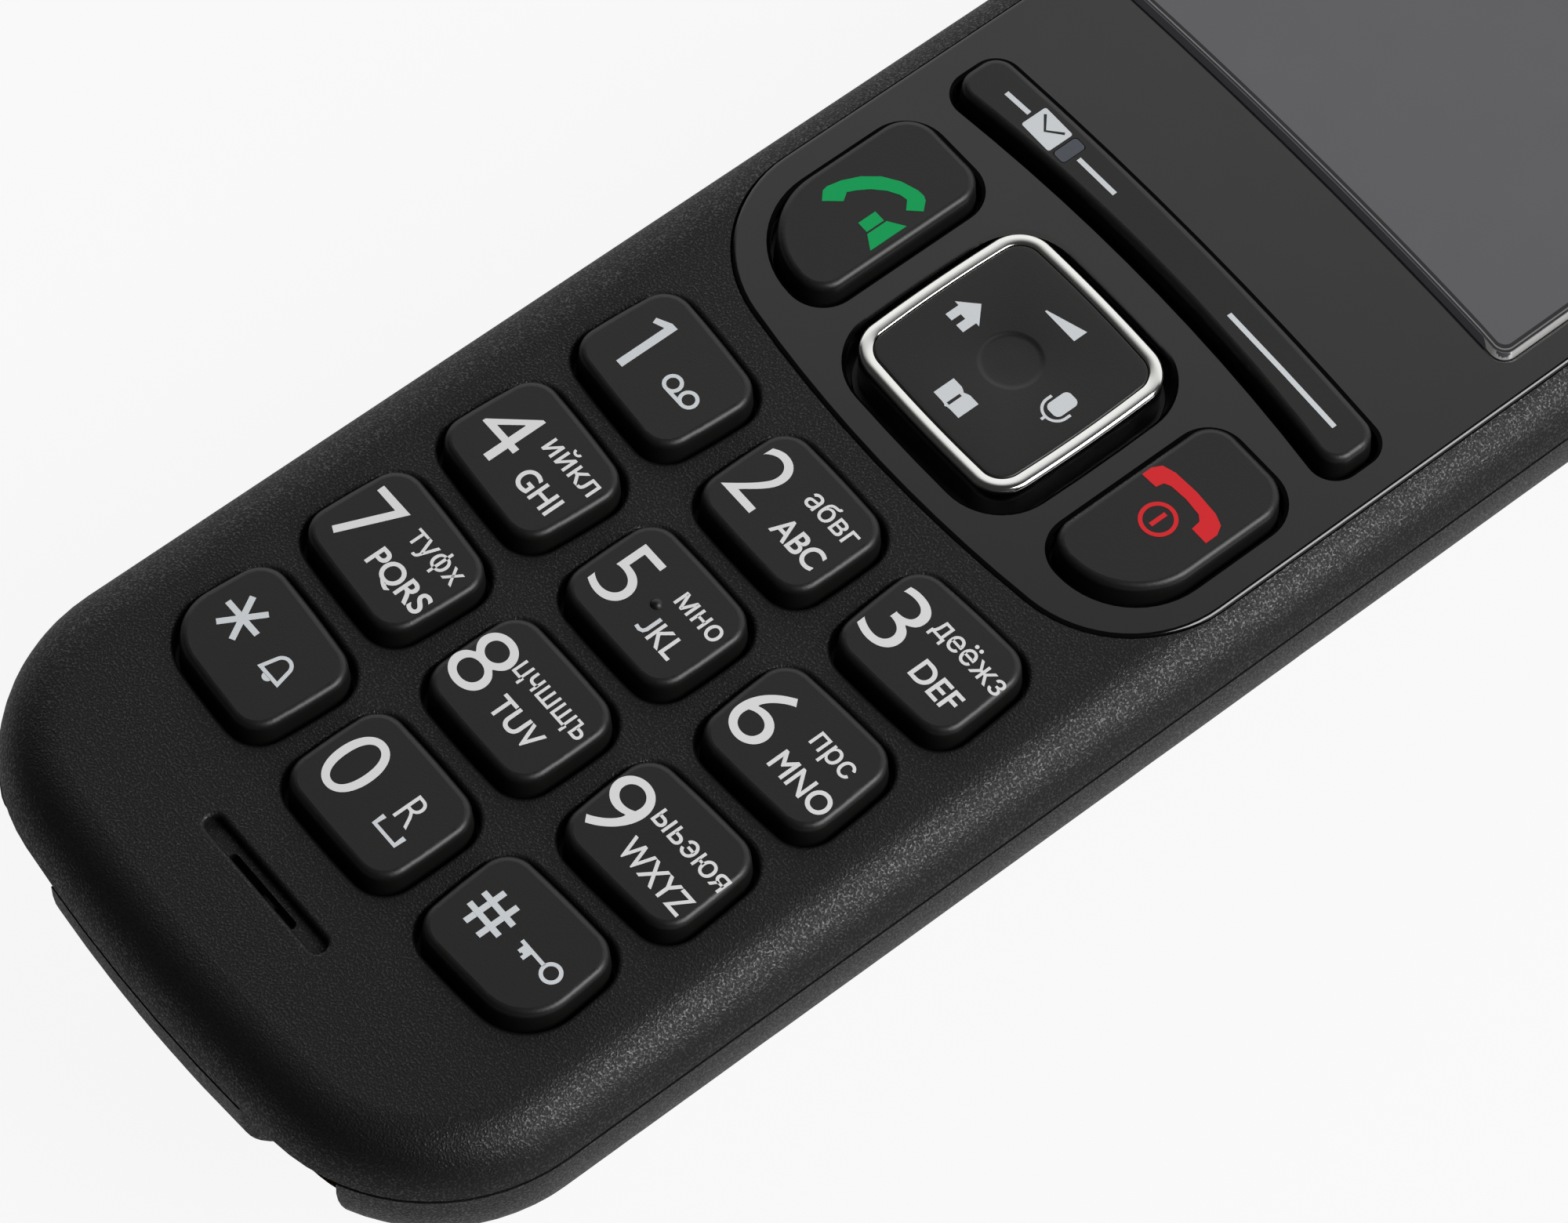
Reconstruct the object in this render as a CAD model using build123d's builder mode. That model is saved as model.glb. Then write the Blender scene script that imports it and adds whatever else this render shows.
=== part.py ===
"""Cordless telephone handset, lying on its back with the keypad up.

Millimetres. The origin is in the middle of the back, on the surface it rests on.
+Y points to the earpiece, +Z out of the keypad.
"""
import os
from math import asin, cos, radians, sin, sqrt, tan

from build123d import *

os.makedirs("parts", exist_ok=True)

# Lengths from the bottom end to the top end, and what they add up to
bottom_to_rows = 51.8         # bottom end to the middle key of the top row
rows_to_fascia = 7.1          # that key to the lower edge of the fascia
rows_to_nav = 18.4            # that key to the navigation key
rows_to_window = 44.4         # that key to the display window
window_height = 36.9
window_to_top = 22.9
length = bottom_to_rows + rows_to_window + window_height + window_to_top
half_length = length / 2
first_row_y = bottom_to_rows - half_length
nav_y = first_row_y + rows_to_nav

# Widths from the middle to the side
call_inner_x = 11.4
call_outer_x = 19.2           # outer edge of the call and end keys
side_margin = 5.8             # those keys to the side of the handset
half_width = call_outer_x + side_margin
width = 2 * half_width

# Form
face_z = 25.6                 # flat of the front face above the table
end_corner = 13.5             # plan radius of the four corners
end_rise = 2.6                # how much the two ends are arched
shoulder = 4.2                # rounding between the front face and the sides

# Shells
parting_below_face = 3.6      # parting line, below the front face
parting_gap = 0.25            # shadow line between the two shells
shell_wall = 1.8
face_wall = 2.1               # front wall, with the fascia let into it
lip_wall = 0.9                # tongue of the rear shell, inside the front shell
lip_height = 1.2
lip_root = 1.5
fit = 0.1                     # clearance between pieces that are fitted together
parting_z = face_z - parting_below_face
hull_top = parting_z - parting_gap
ceiling_z = face_z - face_wall

# Back of the rear shell: each section down is tucked in by reach x (depth share) ^ power
hull_steps = 6
side_reach = 13.0
side_power = 2.05
bottom_reach = 34.0
top_reach = 22.0
end_power = 2.6
corner_loss = 0.25            # share of the corner radius lost at the back
corner_share = 0.6            # how much of an inset comes off the corner radius

# Keypad
key_pitch_x = 13.4
key_pitch_y = 10.95
row_radius = 200.0            # the rows are arcs, low in the middle
last_row_pinch = 0.25         # the outer keys of the last row stand closer in
key_width = 10.2
key_height = 8.1
key_bow = 0.15
key_corner = 2.0
key_wide_corner = 3.6         # outer lower corner of star and hash
key_proud = 1.3
key_draft = 4.0               # degrees
key_edge = 0.5
key_travel = 0.8
well_gap = 0.5                # round the key top
well_edge = 0.35
flange_margin = 0.8
flange_thickness = 0.7
plunger_radius = 1.5
plunger_length = 0.7
tactile_dot = 0.5

# Fascia and what stands in it
fascia_margin = 2.9           # rim of the front shell round the fascia
fascia_bottom_y = first_row_y + rows_to_fascia
fascia_bottom_corner = 9.5
fascia_bottom_rise = 2.4
fascia_thickness = 1.2
fascia_edge = 0.35
cut_edge = 0.25
call_below = 6.8              # call and end keys, below the middle of the navigation key
call_above = 7.6
call_bottom_y = nav_y - call_below
call_top_y = nav_y + call_above
call_inner_corner = 2.0
call_outer_corner = 2.4
call_sweep_corner = 5.6
nav_pad_width = 14.0
nav_pad_height = 14.3
nav_pad_corner = 2.7
nav_ring_band = 1.1
nav_ring_corner = 3.8
nav_bow = 0.25
nav_gap = 0.5
nav_dimple = 2.2
nav_dimple_depth = 0.3
nav_pad_sink = 0.3            # pad top below the ring top
nav_tilt = 2.0                # degrees each way, about two crossed axes
arm_reach = 5.6               # arms of the actuator under the pad
arm_width = 3.0
arm_thickness = 0.7
hub_radius = 1.5
bar_half_length = 19.1
nav_to_bar = 12.15
bar_height = 3.5
bar_bottom_y = nav_y + nav_to_bar
bar_top_y = bar_bottom_y + bar_height
bar_top_sag = 0.65
bar_bottom_sag = 1.3
bar_corner = 1.5
bar_tilt = 1.6                # degrees each way
bar_plunger_x = 14.0
bar_stem_radius = 1.2         # stem that the bar rocks on
light_width = 1.05
light_height = 2.0
light_x = -10.1
light_lift = 1.4              # middle of the light above the lower edge of the bar
light_y = bar_bottom_y + light_lift
led_height = 0.7

# Display
window_half_width = 19.5
window_bottom_y = first_row_y + rows_to_window
window_bow = 0.45
window_corner = 1.1
window_bevel = 0.35
aperture_inset = 2.3          # ledge that the window is glued to
panel_margin = 1.2            # panel beyond the aperture
panel_thickness = 2.1
backlight_margin = 0.8

# Openings for sound
mic_margin = 10.0             # from the bottom end
mic_y = mic_margin - half_length
mic_recess_length = 11.8
mic_recess_width = 1.2
mic_recess_depth = 0.8
mic_slot_length = 6.5
mic_slot_width = 0.7
ear_margin = 12.4             # from the top end
ear_y = half_length - ear_margin
ear_slot_length = 13.0
ear_slot_width = 1.6
grille_margin = 40.0
grille_y = half_length - grille_margin
grille_slots = 5
grille_pitch = 2.6
grille_slot_width = 1.2
grille_slot_length = 13.0
mic_radius = 3.0
mic_height = 2.2
mic_port = 0.9
boot_length = 9.0
boot_width = 6.8
boot_corner = 1.5
ear_radius = 7.5
ear_height = 2.6
ear_rim = 1.4
ear_recess = 0.5
speaker_radius = 10.0
speaker_magnet = 6.0
speaker_height = 4.6
speaker_flange = 1.4
gasket_height = 0.8

# Inside
mat_below_ceiling = 1.7       # top of the mat, below the front wall
mat_thickness = 1.7
mat_bar_gap = 0.35
mat_side_margin = 0.4         # beyond the flanges of the call and end keys
mat_row_margin = 5.35         # below the middle of the last row
mat_top_y = bar_bottom_y - bar_bottom_sag - flange_margin - mat_bar_gap
mat_bottom_y = first_row_y - 3 * key_pitch_y - mat_row_margin
mat_half_width = call_outer_x + flange_margin + mat_side_margin
mat_well_depth = 0.8
mat_well_gap = 0.35
mat_window_gap = 0.8          # round the flange of the navigation key
dome_radius = 2.0
dome_height = 0.3
dome_pocket = 0.6
board_thickness = 1.6
board_side_margin = 4.0
board_bottom_margin = 6.6
board_top_margin = 4.4
board_half_width = half_width - board_side_margin
board_bottom_y = board_bottom_margin - half_length
board_top_y = half_length - board_top_margin
board_corner = 12.0
can_width = 26.0
can_height = 22.0
can_depth = 2.4
can_wall = 0.25
can_corner = 1.0
can_margin = 34.0
can_y = half_length - can_margin
mat_z = ceiling_z - mat_below_ceiling
board_z = mat_z - mat_thickness          # upper face of the board
board_floor_z = board_z - board_thickness

# Battery bay, in the back below the middle
cell_radius = 5.25
cell_length = 44.5
cell_pitch = 10.8
cell_floor_z = 2.6
bottom_to_cells = 63.2        # bottom end to the middle of the cells
cell_middle_y = bottom_to_cells - half_length
cell_edge = 0.6
nipple_radius = 1.9
nipple_height = 0.8
plate_size = 7.0
plate_thickness = 0.4
plate_corner = 1.0
spring_wire = 0.5
spring_root = 2.8
spring_tip = 1.5
bay_wall = 1.2
bay_side_gap = 0.4
bay_end_gap = 1.4
bay_headroom = 0.2
cover_half_width = 15.6
cover_margin = 5.15           # cover beyond the bay, at its top
cover_tail_z = 10.0
cell_z = cell_floor_z + cell_radius
bay_half_width = cell_pitch / 2 + cell_radius + bay_side_gap
bay_half_length = cell_length / 2 + bay_end_gap
bay_ceiling_z = cell_z + cell_radius + bay_headroom
cover_top_y = cell_middle_y + bay_half_length + cover_margin
cover_wall = 1.5
cover_seat = 1.6              # depth of the recess that takes the cover
cover_gap = 0.15
cover_lining = 1.5            # wall behind that recess
tab_width = 3.0
tab_x = 4.0
tab_reach = 1.6
tab_root = 3.0
tab_thickness = 0.8
grip_grooves = 5
grip_pitch = 1.8
grip_drop = 23.2              # below the middle of the cells
grip_y = cell_middle_y - grip_drop
groove_width = 0.7
groove_depth = 0.35
groove_length = 13.0

# Charging contacts in the bottom end
notch_inner_x = 9.8
notch_outer_x = 17.5
notch_depth = 2.4
notch_floor_z = 13.5
end_wall = 1.2                # wall behind the contact recesses
end_wall_reach = 20.0         # of the thick end wall, from the bottom end
end_wall_y = end_wall_reach - half_length
contact_width = 4.6
contact_thickness = 0.3
contact_bottom_z = 14.5
contact_top_z = 20.0

# Screws: two under the top of the cover, two under its tail
upper_screw_x = 8.2
upper_screw_inset = 1.7       # from the top edge of the cover
upper_screw_y = cover_top_y - upper_screw_inset
lower_screw_x = 9.4
lower_screw_margin = 10.4
lower_screw_y = lower_screw_margin - half_length
boss_radius = 2.5
screw_radius = 1.0
screw_pilot = 0.85
screw_head_radius = 1.9
screw_head_height = 1.2
screw_bite = 2.6              # thread in the front boss
screw_points = [
    (side * x, y)
    for x, y in ((upper_screw_x, upper_screw_y), (lower_screw_x, lower_screw_y))
    for side in (-1, 1)
]
upper_head_z = cover_seat + cover_gap
lower_head_z = cover_tail_z + cover_gap + fit
screw_heads = [(x, y, upper_head_z if y == upper_screw_y else lower_head_z) for x, y in screw_points]


def plan(half_w, bottom_y, top_y, bottom_corner, top_corner, bottom_rise, top_rise):
    """Outline with straight sides and arched ends, as seen from the front."""
    with BuildSketch() as outline:
        with BuildLine():
            lower_left = (-half_w, bottom_y + bottom_rise)
            lower_right = (half_w, bottom_y + bottom_rise)
            upper_right = (half_w, top_y - top_rise)
            upper_left = (-half_w, top_y - top_rise)
            ThreePointArc(lower_left, (0, bottom_y), lower_right)
            Line(lower_right, upper_right)
            ThreePointArc(upper_right, (0, top_y), upper_left)
            Line(upper_left, lower_left)
        make_face()
        fillet(outline.vertices().group_by(Axis.Y)[0], bottom_corner)
        fillet(outline.vertices().group_by(Axis.Y)[-1], top_corner)
    return outline.sketch


def body_plan(inset):
    """Outline of the handset at the parting line, moved in by inset."""
    return plan(
        half_width - inset,
        -half_length + inset,
        half_length - inset,
        end_corner - inset,
        end_corner - inset,
        end_rise,
        end_rise,
    )


def hull(inset, lift):
    """Solid form of the back, moved in by inset all round and up by lift."""
    with BuildPart() as form:
        for step in range(hull_steps + 1):
            depth = step / hull_steps
            tuck = side_reach * depth**side_power
            corner = end_corner * (1 - corner_loss * depth) - corner_share * inset
            with BuildSketch(Plane.XY.offset(hull_top * (1 - depth) + lift)):
                add(
                    plan(
                        half_width - tuck - inset,
                        -half_length + bottom_reach * depth**end_power + inset,
                        half_length - top_reach * depth**end_power - inset,
                        corner,
                        corner,
                        end_rise,
                        end_rise,
                    )
                )
        loft()
    return form.part


def bowed_pad(w, h, bow, corners):
    """Rectangle with bowed sides; corners are radii, counter-clockwise from lower left."""
    with BuildSketch() as pad:
        with BuildLine():
            ThreePointArc((-w / 2, -h / 2), (0, -h / 2 - bow), (w / 2, -h / 2))
            ThreePointArc((w / 2, -h / 2), (w / 2 + bow, 0), (w / 2, h / 2))
            ThreePointArc((w / 2, h / 2), (0, h / 2 + bow), (-w / 2, h / 2))
            ThreePointArc((-w / 2, h / 2), (-w / 2 - bow, 0), (-w / 2, -h / 2))
        make_face()
        places = ((-1, -1), (1, -1), (1, 1), (-1, 1))
        for (side, end), radius in zip(places, corners):
            fillet(pad.vertices().sort_by_distance((side * w / 2, end * h / 2))[0], radius)
    return pad.sketch


def call_plan(side, grow):
    """Outline of the call key (side -1) or the end key (side 1)."""
    inner = side * (call_inner_x - grow)
    outer = side * (call_outer_x + grow)
    low = call_bottom_y - grow
    high = call_top_y + grow
    corners = {
        (inner, high): call_inner_corner,
        (inner, low): call_inner_corner,
        (outer, low): call_sweep_corner,
        (outer, high): call_outer_corner,
    }
    with BuildSketch() as outline:
        with BuildLine():
            Polyline(*corners, close=True)
        make_face()
        for corner, radius in corners.items():
            fillet(outline.vertices().sort_by_distance(corner)[0], radius + grow)
    return outline.sketch


def bar_plan(grow):
    """Outline of the arched softkey bar."""
    reach = bar_half_length + grow
    top = bar_top_y + grow
    bottom = bar_bottom_y - grow
    with BuildSketch() as outline:
        with BuildLine():
            ThreePointArc((-reach, bottom - bar_bottom_sag), (0, bottom), (reach, bottom - bar_bottom_sag))
            Line((reach, bottom - bar_bottom_sag), (reach, top - bar_top_sag))
            ThreePointArc((reach, top - bar_top_sag), (0, top), (-reach, top - bar_top_sag))
            Line((-reach, top - bar_top_sag), (-reach, bottom - bar_bottom_sag))
        make_face()
        fillet(outline.vertices(), bar_corner + grow / 2)
    return outline.sketch


def nav_plan(grow, corner):
    """Outline of the navigation pad, grown outwards."""
    pad = bowed_pad(nav_pad_width + 2 * grow, nav_pad_height + 2 * grow, nav_bow, [corner] * 4)
    return pad.moved(Location((0, nav_y)))


def window_plan(inset):
    """Outline of the display window, moved in by inset."""
    return plan(
        window_half_width - inset,
        window_bottom_y + inset,
        window_bottom_y + window_height - inset,
        window_corner,
        window_corner,
        -window_bow,
        window_bow,
    )


def fascia_plan(grow):
    """Outline of the glossy fascia."""
    top_corner = end_corner - fascia_margin
    return plan(
        half_width - fascia_margin + grow,
        fascia_bottom_y - grow,
        half_length - fascia_margin + grow,
        fascia_bottom_corner + grow,
        top_corner + grow,
        fascia_bottom_rise,
        end_rise,
    )


# Number keys: name, column from the middle, row from the top
key_names = ["key_1", "key_2", "key_3", "key_4", "key_5", "key_6", "key_7", "key_8", "key_9"]
key_names += ["key_star", "key_0", "key_hash"]
number_keys = [(name, index % 3 - 1, index // 3) for index, name in enumerate(key_names)]


def key_plane(column, row, z):
    """Plane of a number key, turned to follow the arc of its row."""
    pinch = last_row_pinch if row == 3 else 0
    x = column * (key_pitch_x - pinch)
    turn = asin(x / row_radius)
    y = first_row_y - row * key_pitch_y + row_radius * (1 - cos(turn))
    return Plane(origin=(x, y, z), x_dir=(cos(turn), sin(turn), 0), z_dir=(0, 0, 1))


def key_plan(name, grow):
    """Outline of a number key's top, grown outwards."""
    corners = [key_corner + grow] * 4
    if name == "key_star":
        corners[0] = key_wide_corner + grow
    if name == "key_hash":
        corners[1] = key_wide_corner + grow
    return bowed_pad(key_width + 2 * grow, key_height + 2 * grow, key_bow, corners)


# Heights that the keys share
key_top_z = face_z + key_proud
flange_top_z = ceiling_z - fit
flange_bottom_z = flange_top_z - flange_thickness
cap_growth = (key_top_z - flange_top_z) * tan(radians(key_draft))

# Front shell
with BuildPart() as front_housing:
    with BuildSketch(Plane.XY.offset(face_z - 2 * shoulder)):
        add(body_plan(0))
    extrude(amount=2 * shoulder)
    fillet(front_housing.edges().group_by(Axis.Z)[-1], shoulder)
    split(bisect_by=Plane.XY.offset(parting_z), keep=Keep.TOP)
    with BuildSketch(Plane.XY.offset(parting_z)):
        add(body_plan(shell_wall))
    extrude(amount=ceiling_z - parting_z, mode=Mode.SUBTRACT)
    for name, column, row in number_keys:
        with BuildSketch(key_plane(column, row, face_z)):
            add(key_plan(name, well_gap))
        extrude(amount=-face_wall, mode=Mode.SUBTRACT)
    with BuildSketch(Plane.XY.offset(face_z)):
        with Locations((0, mic_y)):
            SlotOverall(mic_recess_length, mic_recess_width)
    extrude(amount=-mic_recess_depth, mode=Mode.SUBTRACT)
    well_rims = front_housing.faces().sort_by(Axis.Z)[-1].inner_wires()
    fillet([edge for rim in well_rims for edge in rim.edges()], well_edge)
    with BuildSketch(Plane.XY.offset(face_z)):
        with Locations((0, mic_y - mic_recess_width / 4)):
            SlotOverall(mic_slot_length, mic_slot_width)
    extrude(amount=-face_wall, mode=Mode.SUBTRACT)
    with BuildSketch(Plane.XY.offset(face_z - fascia_thickness)):
        add(fascia_plan(fit / 2))
    extrude(amount=shoulder, mode=Mode.SUBTRACT)
    with BuildSketch(Plane.XY.offset(face_z)):
        add(call_plan(-1, well_gap))
        add(call_plan(1, well_gap))
        add(bar_plan(well_gap))
        add(nav_plan(nav_ring_band + nav_gap, nav_ring_corner + nav_gap))
        add(window_plan(aperture_inset))
        with Locations((0, ear_y)):
            SlotOverall(ear_slot_length, ear_slot_width)
    extrude(amount=-face_wall, mode=Mode.SUBTRACT)
    with BuildSketch(Plane.XY.offset(ceiling_z)):
        with Locations(*screw_points):
            Circle(boss_radius)
    extrude(amount=board_z - ceiling_z)
    with BuildSketch(Plane.XY.offset(board_z)):
        with Locations(*screw_points):
            Circle(screw_pilot)
    extrude(amount=screw_bite + fit, mode=Mode.SUBTRACT)
front_housing.part.label = "front_housing"
export_step(front_housing.part, "parts/front_housing.step")

# Fascia: follows the front face, with a rounded rim and openings for keys and window
with BuildPart() as display_fascia:
    with BuildSketch(Plane.XY.offset(face_z - fascia_thickness)):
        add(fascia_plan(0))
    extrude(amount=fascia_thickness)
    fillet(display_fascia.edges().group_by(Axis.Z)[-1], fascia_edge)
    with BuildSketch(Plane.XY.offset(face_z)):
        add(call_plan(-1, well_gap))
        add(call_plan(1, well_gap))
        add(bar_plan(well_gap))
        add(nav_plan(nav_ring_band + nav_gap, nav_ring_corner + nav_gap))
        add(window_plan(-fit))
        with Locations((0, ear_y)):
            SlotOverall(ear_slot_length, ear_slot_width)
    extrude(amount=-fascia_thickness, mode=Mode.SUBTRACT)
    cut_rims = display_fascia.faces().sort_by(Axis.Z)[-1].inner_wires()
    chamfer([edge for rim in cut_rims for edge in rim.edges()], cut_edge)
display_fascia.part.label = "display_fascia"
export_step(display_fascia.part, "parts/display_fascia.step")

# Window: glued to the ledge of the front shell, with a bevelled edge
with BuildPart() as display_window:
    with BuildSketch(Plane.XY.offset(face_z - fascia_thickness)):
        add(window_plan(0))
    extrude(amount=fascia_thickness)
    chamfer(display_window.edges().group_by(Axis.Z)[-1], window_bevel)
display_window.part.label = "display_window"
export_step(display_window.part, "parts/display_window.step")

# Display panel against the underside of the front wall, and its backlight down to the board
panel_half_width = window_half_width - aperture_inset + panel_margin
panel_height = window_height - 2 * aperture_inset + 2 * panel_margin
panel_y = window_bottom_y + window_height / 2
panel_floor_z = ceiling_z - fit - panel_thickness
with BuildPart() as display_panel:
    with BuildSketch(Plane.XY.offset(panel_floor_z)):
        with Locations((0, panel_y)):
            Rectangle(2 * panel_half_width, panel_height)
    extrude(amount=panel_thickness)
display_panel.part.label = "display_panel"
export_step(display_panel.part, "parts/display_panel.step")

with BuildPart() as backlight_frame:
    with BuildSketch(Plane.XY.offset(board_z)):
        with Locations((0, panel_y)):
            Rectangle(
                2 * (panel_half_width + backlight_margin),
                panel_height + 2 * backlight_margin,
            )
    extrude(amount=panel_floor_z - board_z + panel_thickness / 2)
    with BuildSketch(Plane.XY.offset(panel_floor_z)):
        with Locations((0, panel_y)):
            Rectangle(2 * (panel_half_width + fit), panel_height + 2 * fit)
    extrude(amount=panel_thickness, mode=Mode.SUBTRACT)
backlight_frame.part.label = "backlight_frame"
export_step(backlight_frame.part, "parts/backlight_frame.step")

# Number keys: drafted cap, flange below the front wall, plunger over the dome
for name, column, row in number_keys:
    with BuildPart() as number_key:
        with BuildSketch(key_plane(column, row, flange_top_z)):
            add(key_plan(name, cap_growth))
        with BuildSketch(key_plane(column, row, key_top_z)):
            add(key_plan(name, 0))
        loft(ruled=True)
        fillet(number_key.edges().group_by(Axis.Z)[-1], key_edge)
        with BuildSketch(key_plane(column, row, flange_bottom_z)):
            add(key_plan(name, flange_margin))
        extrude(amount=flange_thickness)
        with BuildSketch(key_plane(column, row, flange_bottom_z)):
            Circle(plunger_radius)
        extrude(amount=-plunger_length)
        if name == "key_5":
            with Locations(key_plane(column, row, key_top_z - tactile_dot / 2)):
                Sphere(tactile_dot)
    number_key.part.label = name
    export_step(number_key.part, f"parts/{name}.step")

# Call and end keys: same build, mirrored outlines
call_middle = ((call_inner_x + call_outer_x) / 2, (call_bottom_y + call_top_y) / 2)
for name, side in (("call_key", -1), ("end_key", 1)):
    with BuildPart() as side_key:
        with BuildSketch(Plane.XY.offset(flange_top_z)):
            add(call_plan(side, cap_growth))
        with BuildSketch(Plane.XY.offset(key_top_z)):
            add(call_plan(side, 0))
        loft(ruled=True)
        fillet(side_key.edges().group_by(Axis.Z)[-1], key_edge)
        with BuildSketch(Plane.XY.offset(flange_bottom_z)):
            add(call_plan(side, flange_margin))
        extrude(amount=flange_thickness)
        with BuildSketch(Plane.XY.offset(flange_bottom_z)):
            with Locations((side * call_middle[0], call_middle[1])):
                Circle(plunger_radius)
        extrude(amount=-plunger_length)
    side_key.part.label = name
    export_step(side_key.part, f"parts/{name}.step")

# Softkey bar: one rocker on a stem, with a plunger at each end and a light pipe through it
bar_drop = (bar_half_length + flange_margin) * sin(radians(bar_tilt))
bar_flange_z = ceiling_z - bar_drop - fit - flange_thickness
bar_y = (bar_top_y + bar_bottom_y) / 2 - (bar_top_sag + bar_bottom_sag) / 4
bar_plunger_z = board_z + dome_height + bar_plunger_x * sin(radians(bar_tilt)) + fit
with BuildPart() as softkey_bar:
    with BuildSketch(Plane.XY.offset(bar_flange_z + flange_thickness)):
        add(bar_plan(cap_growth))
    with BuildSketch(Plane.XY.offset(key_top_z)):
        add(bar_plan(0))
    loft(ruled=True)
    fillet(softkey_bar.edges().group_by(Axis.Z)[-1], key_edge)
    with BuildSketch(Plane.XY.offset(bar_flange_z)):
        add(bar_plan(flange_margin))
    extrude(amount=flange_thickness)
    with BuildSketch(Plane.XY.offset(bar_flange_z)):
        with Locations((-bar_plunger_x, bar_y), (bar_plunger_x, bar_y)):
            Circle(plunger_radius)
    extrude(amount=bar_plunger_z - bar_flange_z)
    with BuildSketch(Plane.XY.offset(bar_flange_z)):
        with Locations((0, bar_y)):
            Circle(bar_stem_radius)
    extrude(amount=board_z + fit - bar_flange_z)
    with BuildSketch(Plane.XY.offset(key_top_z)):
        with Locations((light_x, light_y)):
            RectangleRounded(light_width + fit, light_height + fit, light_width / 4)
    extrude(amount=bar_flange_z - key_top_z, mode=Mode.SUBTRACT)
softkey_bar.part.label = "softkey_bar"
export_step(softkey_bar.part, "parts/softkey_bar.step")

with BuildPart() as message_light:
    with BuildSketch(Plane.XY.offset(bar_flange_z)):
        with Locations((light_x, light_y)):
            RectangleRounded(light_width, light_height, light_width / 4)
    extrude(amount=key_top_z - bar_flange_z)
message_light.part.label = "message_light"
export_step(message_light.part, "parts/message_light.step")

# Navigation key: cap with a thumb dimple, chromed ring round it, both on one flange
nav_reach = nav_pad_height / 2 + nav_ring_band + nav_bow + flange_margin
nav_drop = 2 * nav_reach * sin(radians(nav_tilt))
nav_flange_top_z = ceiling_z - nav_drop - fit
nav_flange_z = nav_flange_top_z - flange_thickness
nav_pad_z = key_top_z - nav_pad_sink
nav_ring_floor_z = ceiling_z + fit
dimple_radius = (nav_dimple**2 + nav_dimple_depth**2) / (2 * nav_dimple_depth)
with BuildPart() as nav_key:
    with BuildSketch(Plane.XY.offset(nav_flange_z)):
        add(nav_plan(nav_ring_band + flange_margin, nav_ring_corner))
    extrude(amount=flange_thickness)
    with BuildSketch(Plane.XY.offset(nav_flange_top_z)):
        add(nav_plan(nav_ring_band, nav_ring_corner))
    extrude(amount=nav_ring_floor_z - nav_flange_top_z)
    with BuildSketch(Plane.XY.offset(nav_ring_floor_z)):
        add(nav_plan(0, nav_pad_corner))
    extrude(amount=nav_pad_z - nav_ring_floor_z)
    fillet(nav_key.edges().group_by(Axis.Z)[-1], key_edge)
    with Locations((0, nav_y, nav_pad_z + dimple_radius - nav_dimple_depth)):
        Sphere(dimple_radius, mode=Mode.SUBTRACT)
nav_key.part.label = "nav_key"
export_step(nav_key.part, "parts/nav_key.step")

with BuildPart() as nav_ring:
    with BuildSketch(Plane.XY.offset(nav_ring_floor_z)):
        add(nav_plan(nav_ring_band, nav_ring_corner))
        add(nav_plan(fit / 2, nav_pad_corner + fit / 2), mode=Mode.SUBTRACT)
    extrude(amount=key_top_z - nav_ring_floor_z)
    fillet(nav_ring.edges().group_by(Axis.Z)[-1], nav_ring_band / 3)
nav_ring.part.label = "nav_ring"
export_step(nav_ring.part, "parts/nav_ring.step")

# Actuator: cross-shaped rocker between the cap and the board, with a hub and four plungers
actuator_top_z = nav_flange_z - arm_reach * sin(radians(nav_tilt)) - fit
actuator_floor_z = actuator_top_z - arm_thickness
arm_lift = arm_reach * sin(radians(nav_tilt)) + dome_height + fit
with BuildPart() as nav_actuator:
    with BuildSketch(Plane.XY.offset(actuator_floor_z)):
        with Locations((0, nav_y)):
            Rectangle(2 * arm_reach, arm_width)
            Rectangle(arm_width, 2 * arm_reach)
    extrude(amount=arm_thickness)
    with BuildSketch(Plane.XY.offset(actuator_floor_z)):
        with Locations((0, nav_y)):
            Circle(hub_radius)
    extrude(amount=board_z + fit - actuator_floor_z)
    with BuildSketch(Plane.XY.offset(actuator_top_z)):
        with Locations((0, nav_y)):
            Circle(hub_radius)
    extrude(amount=nav_flange_z - fit - actuator_top_z)
    with BuildSketch(Plane.XY.offset(actuator_floor_z)):
        with Locations((0, nav_y)):
            with PolarLocations(arm_reach - arm_width / 2, 4):
                Circle(arm_width / 2)
    extrude(amount=board_z + arm_lift - actuator_floor_z)
nav_actuator.part.label = "nav_actuator"
export_step(nav_actuator.part, "parts/nav_actuator.step")

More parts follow.
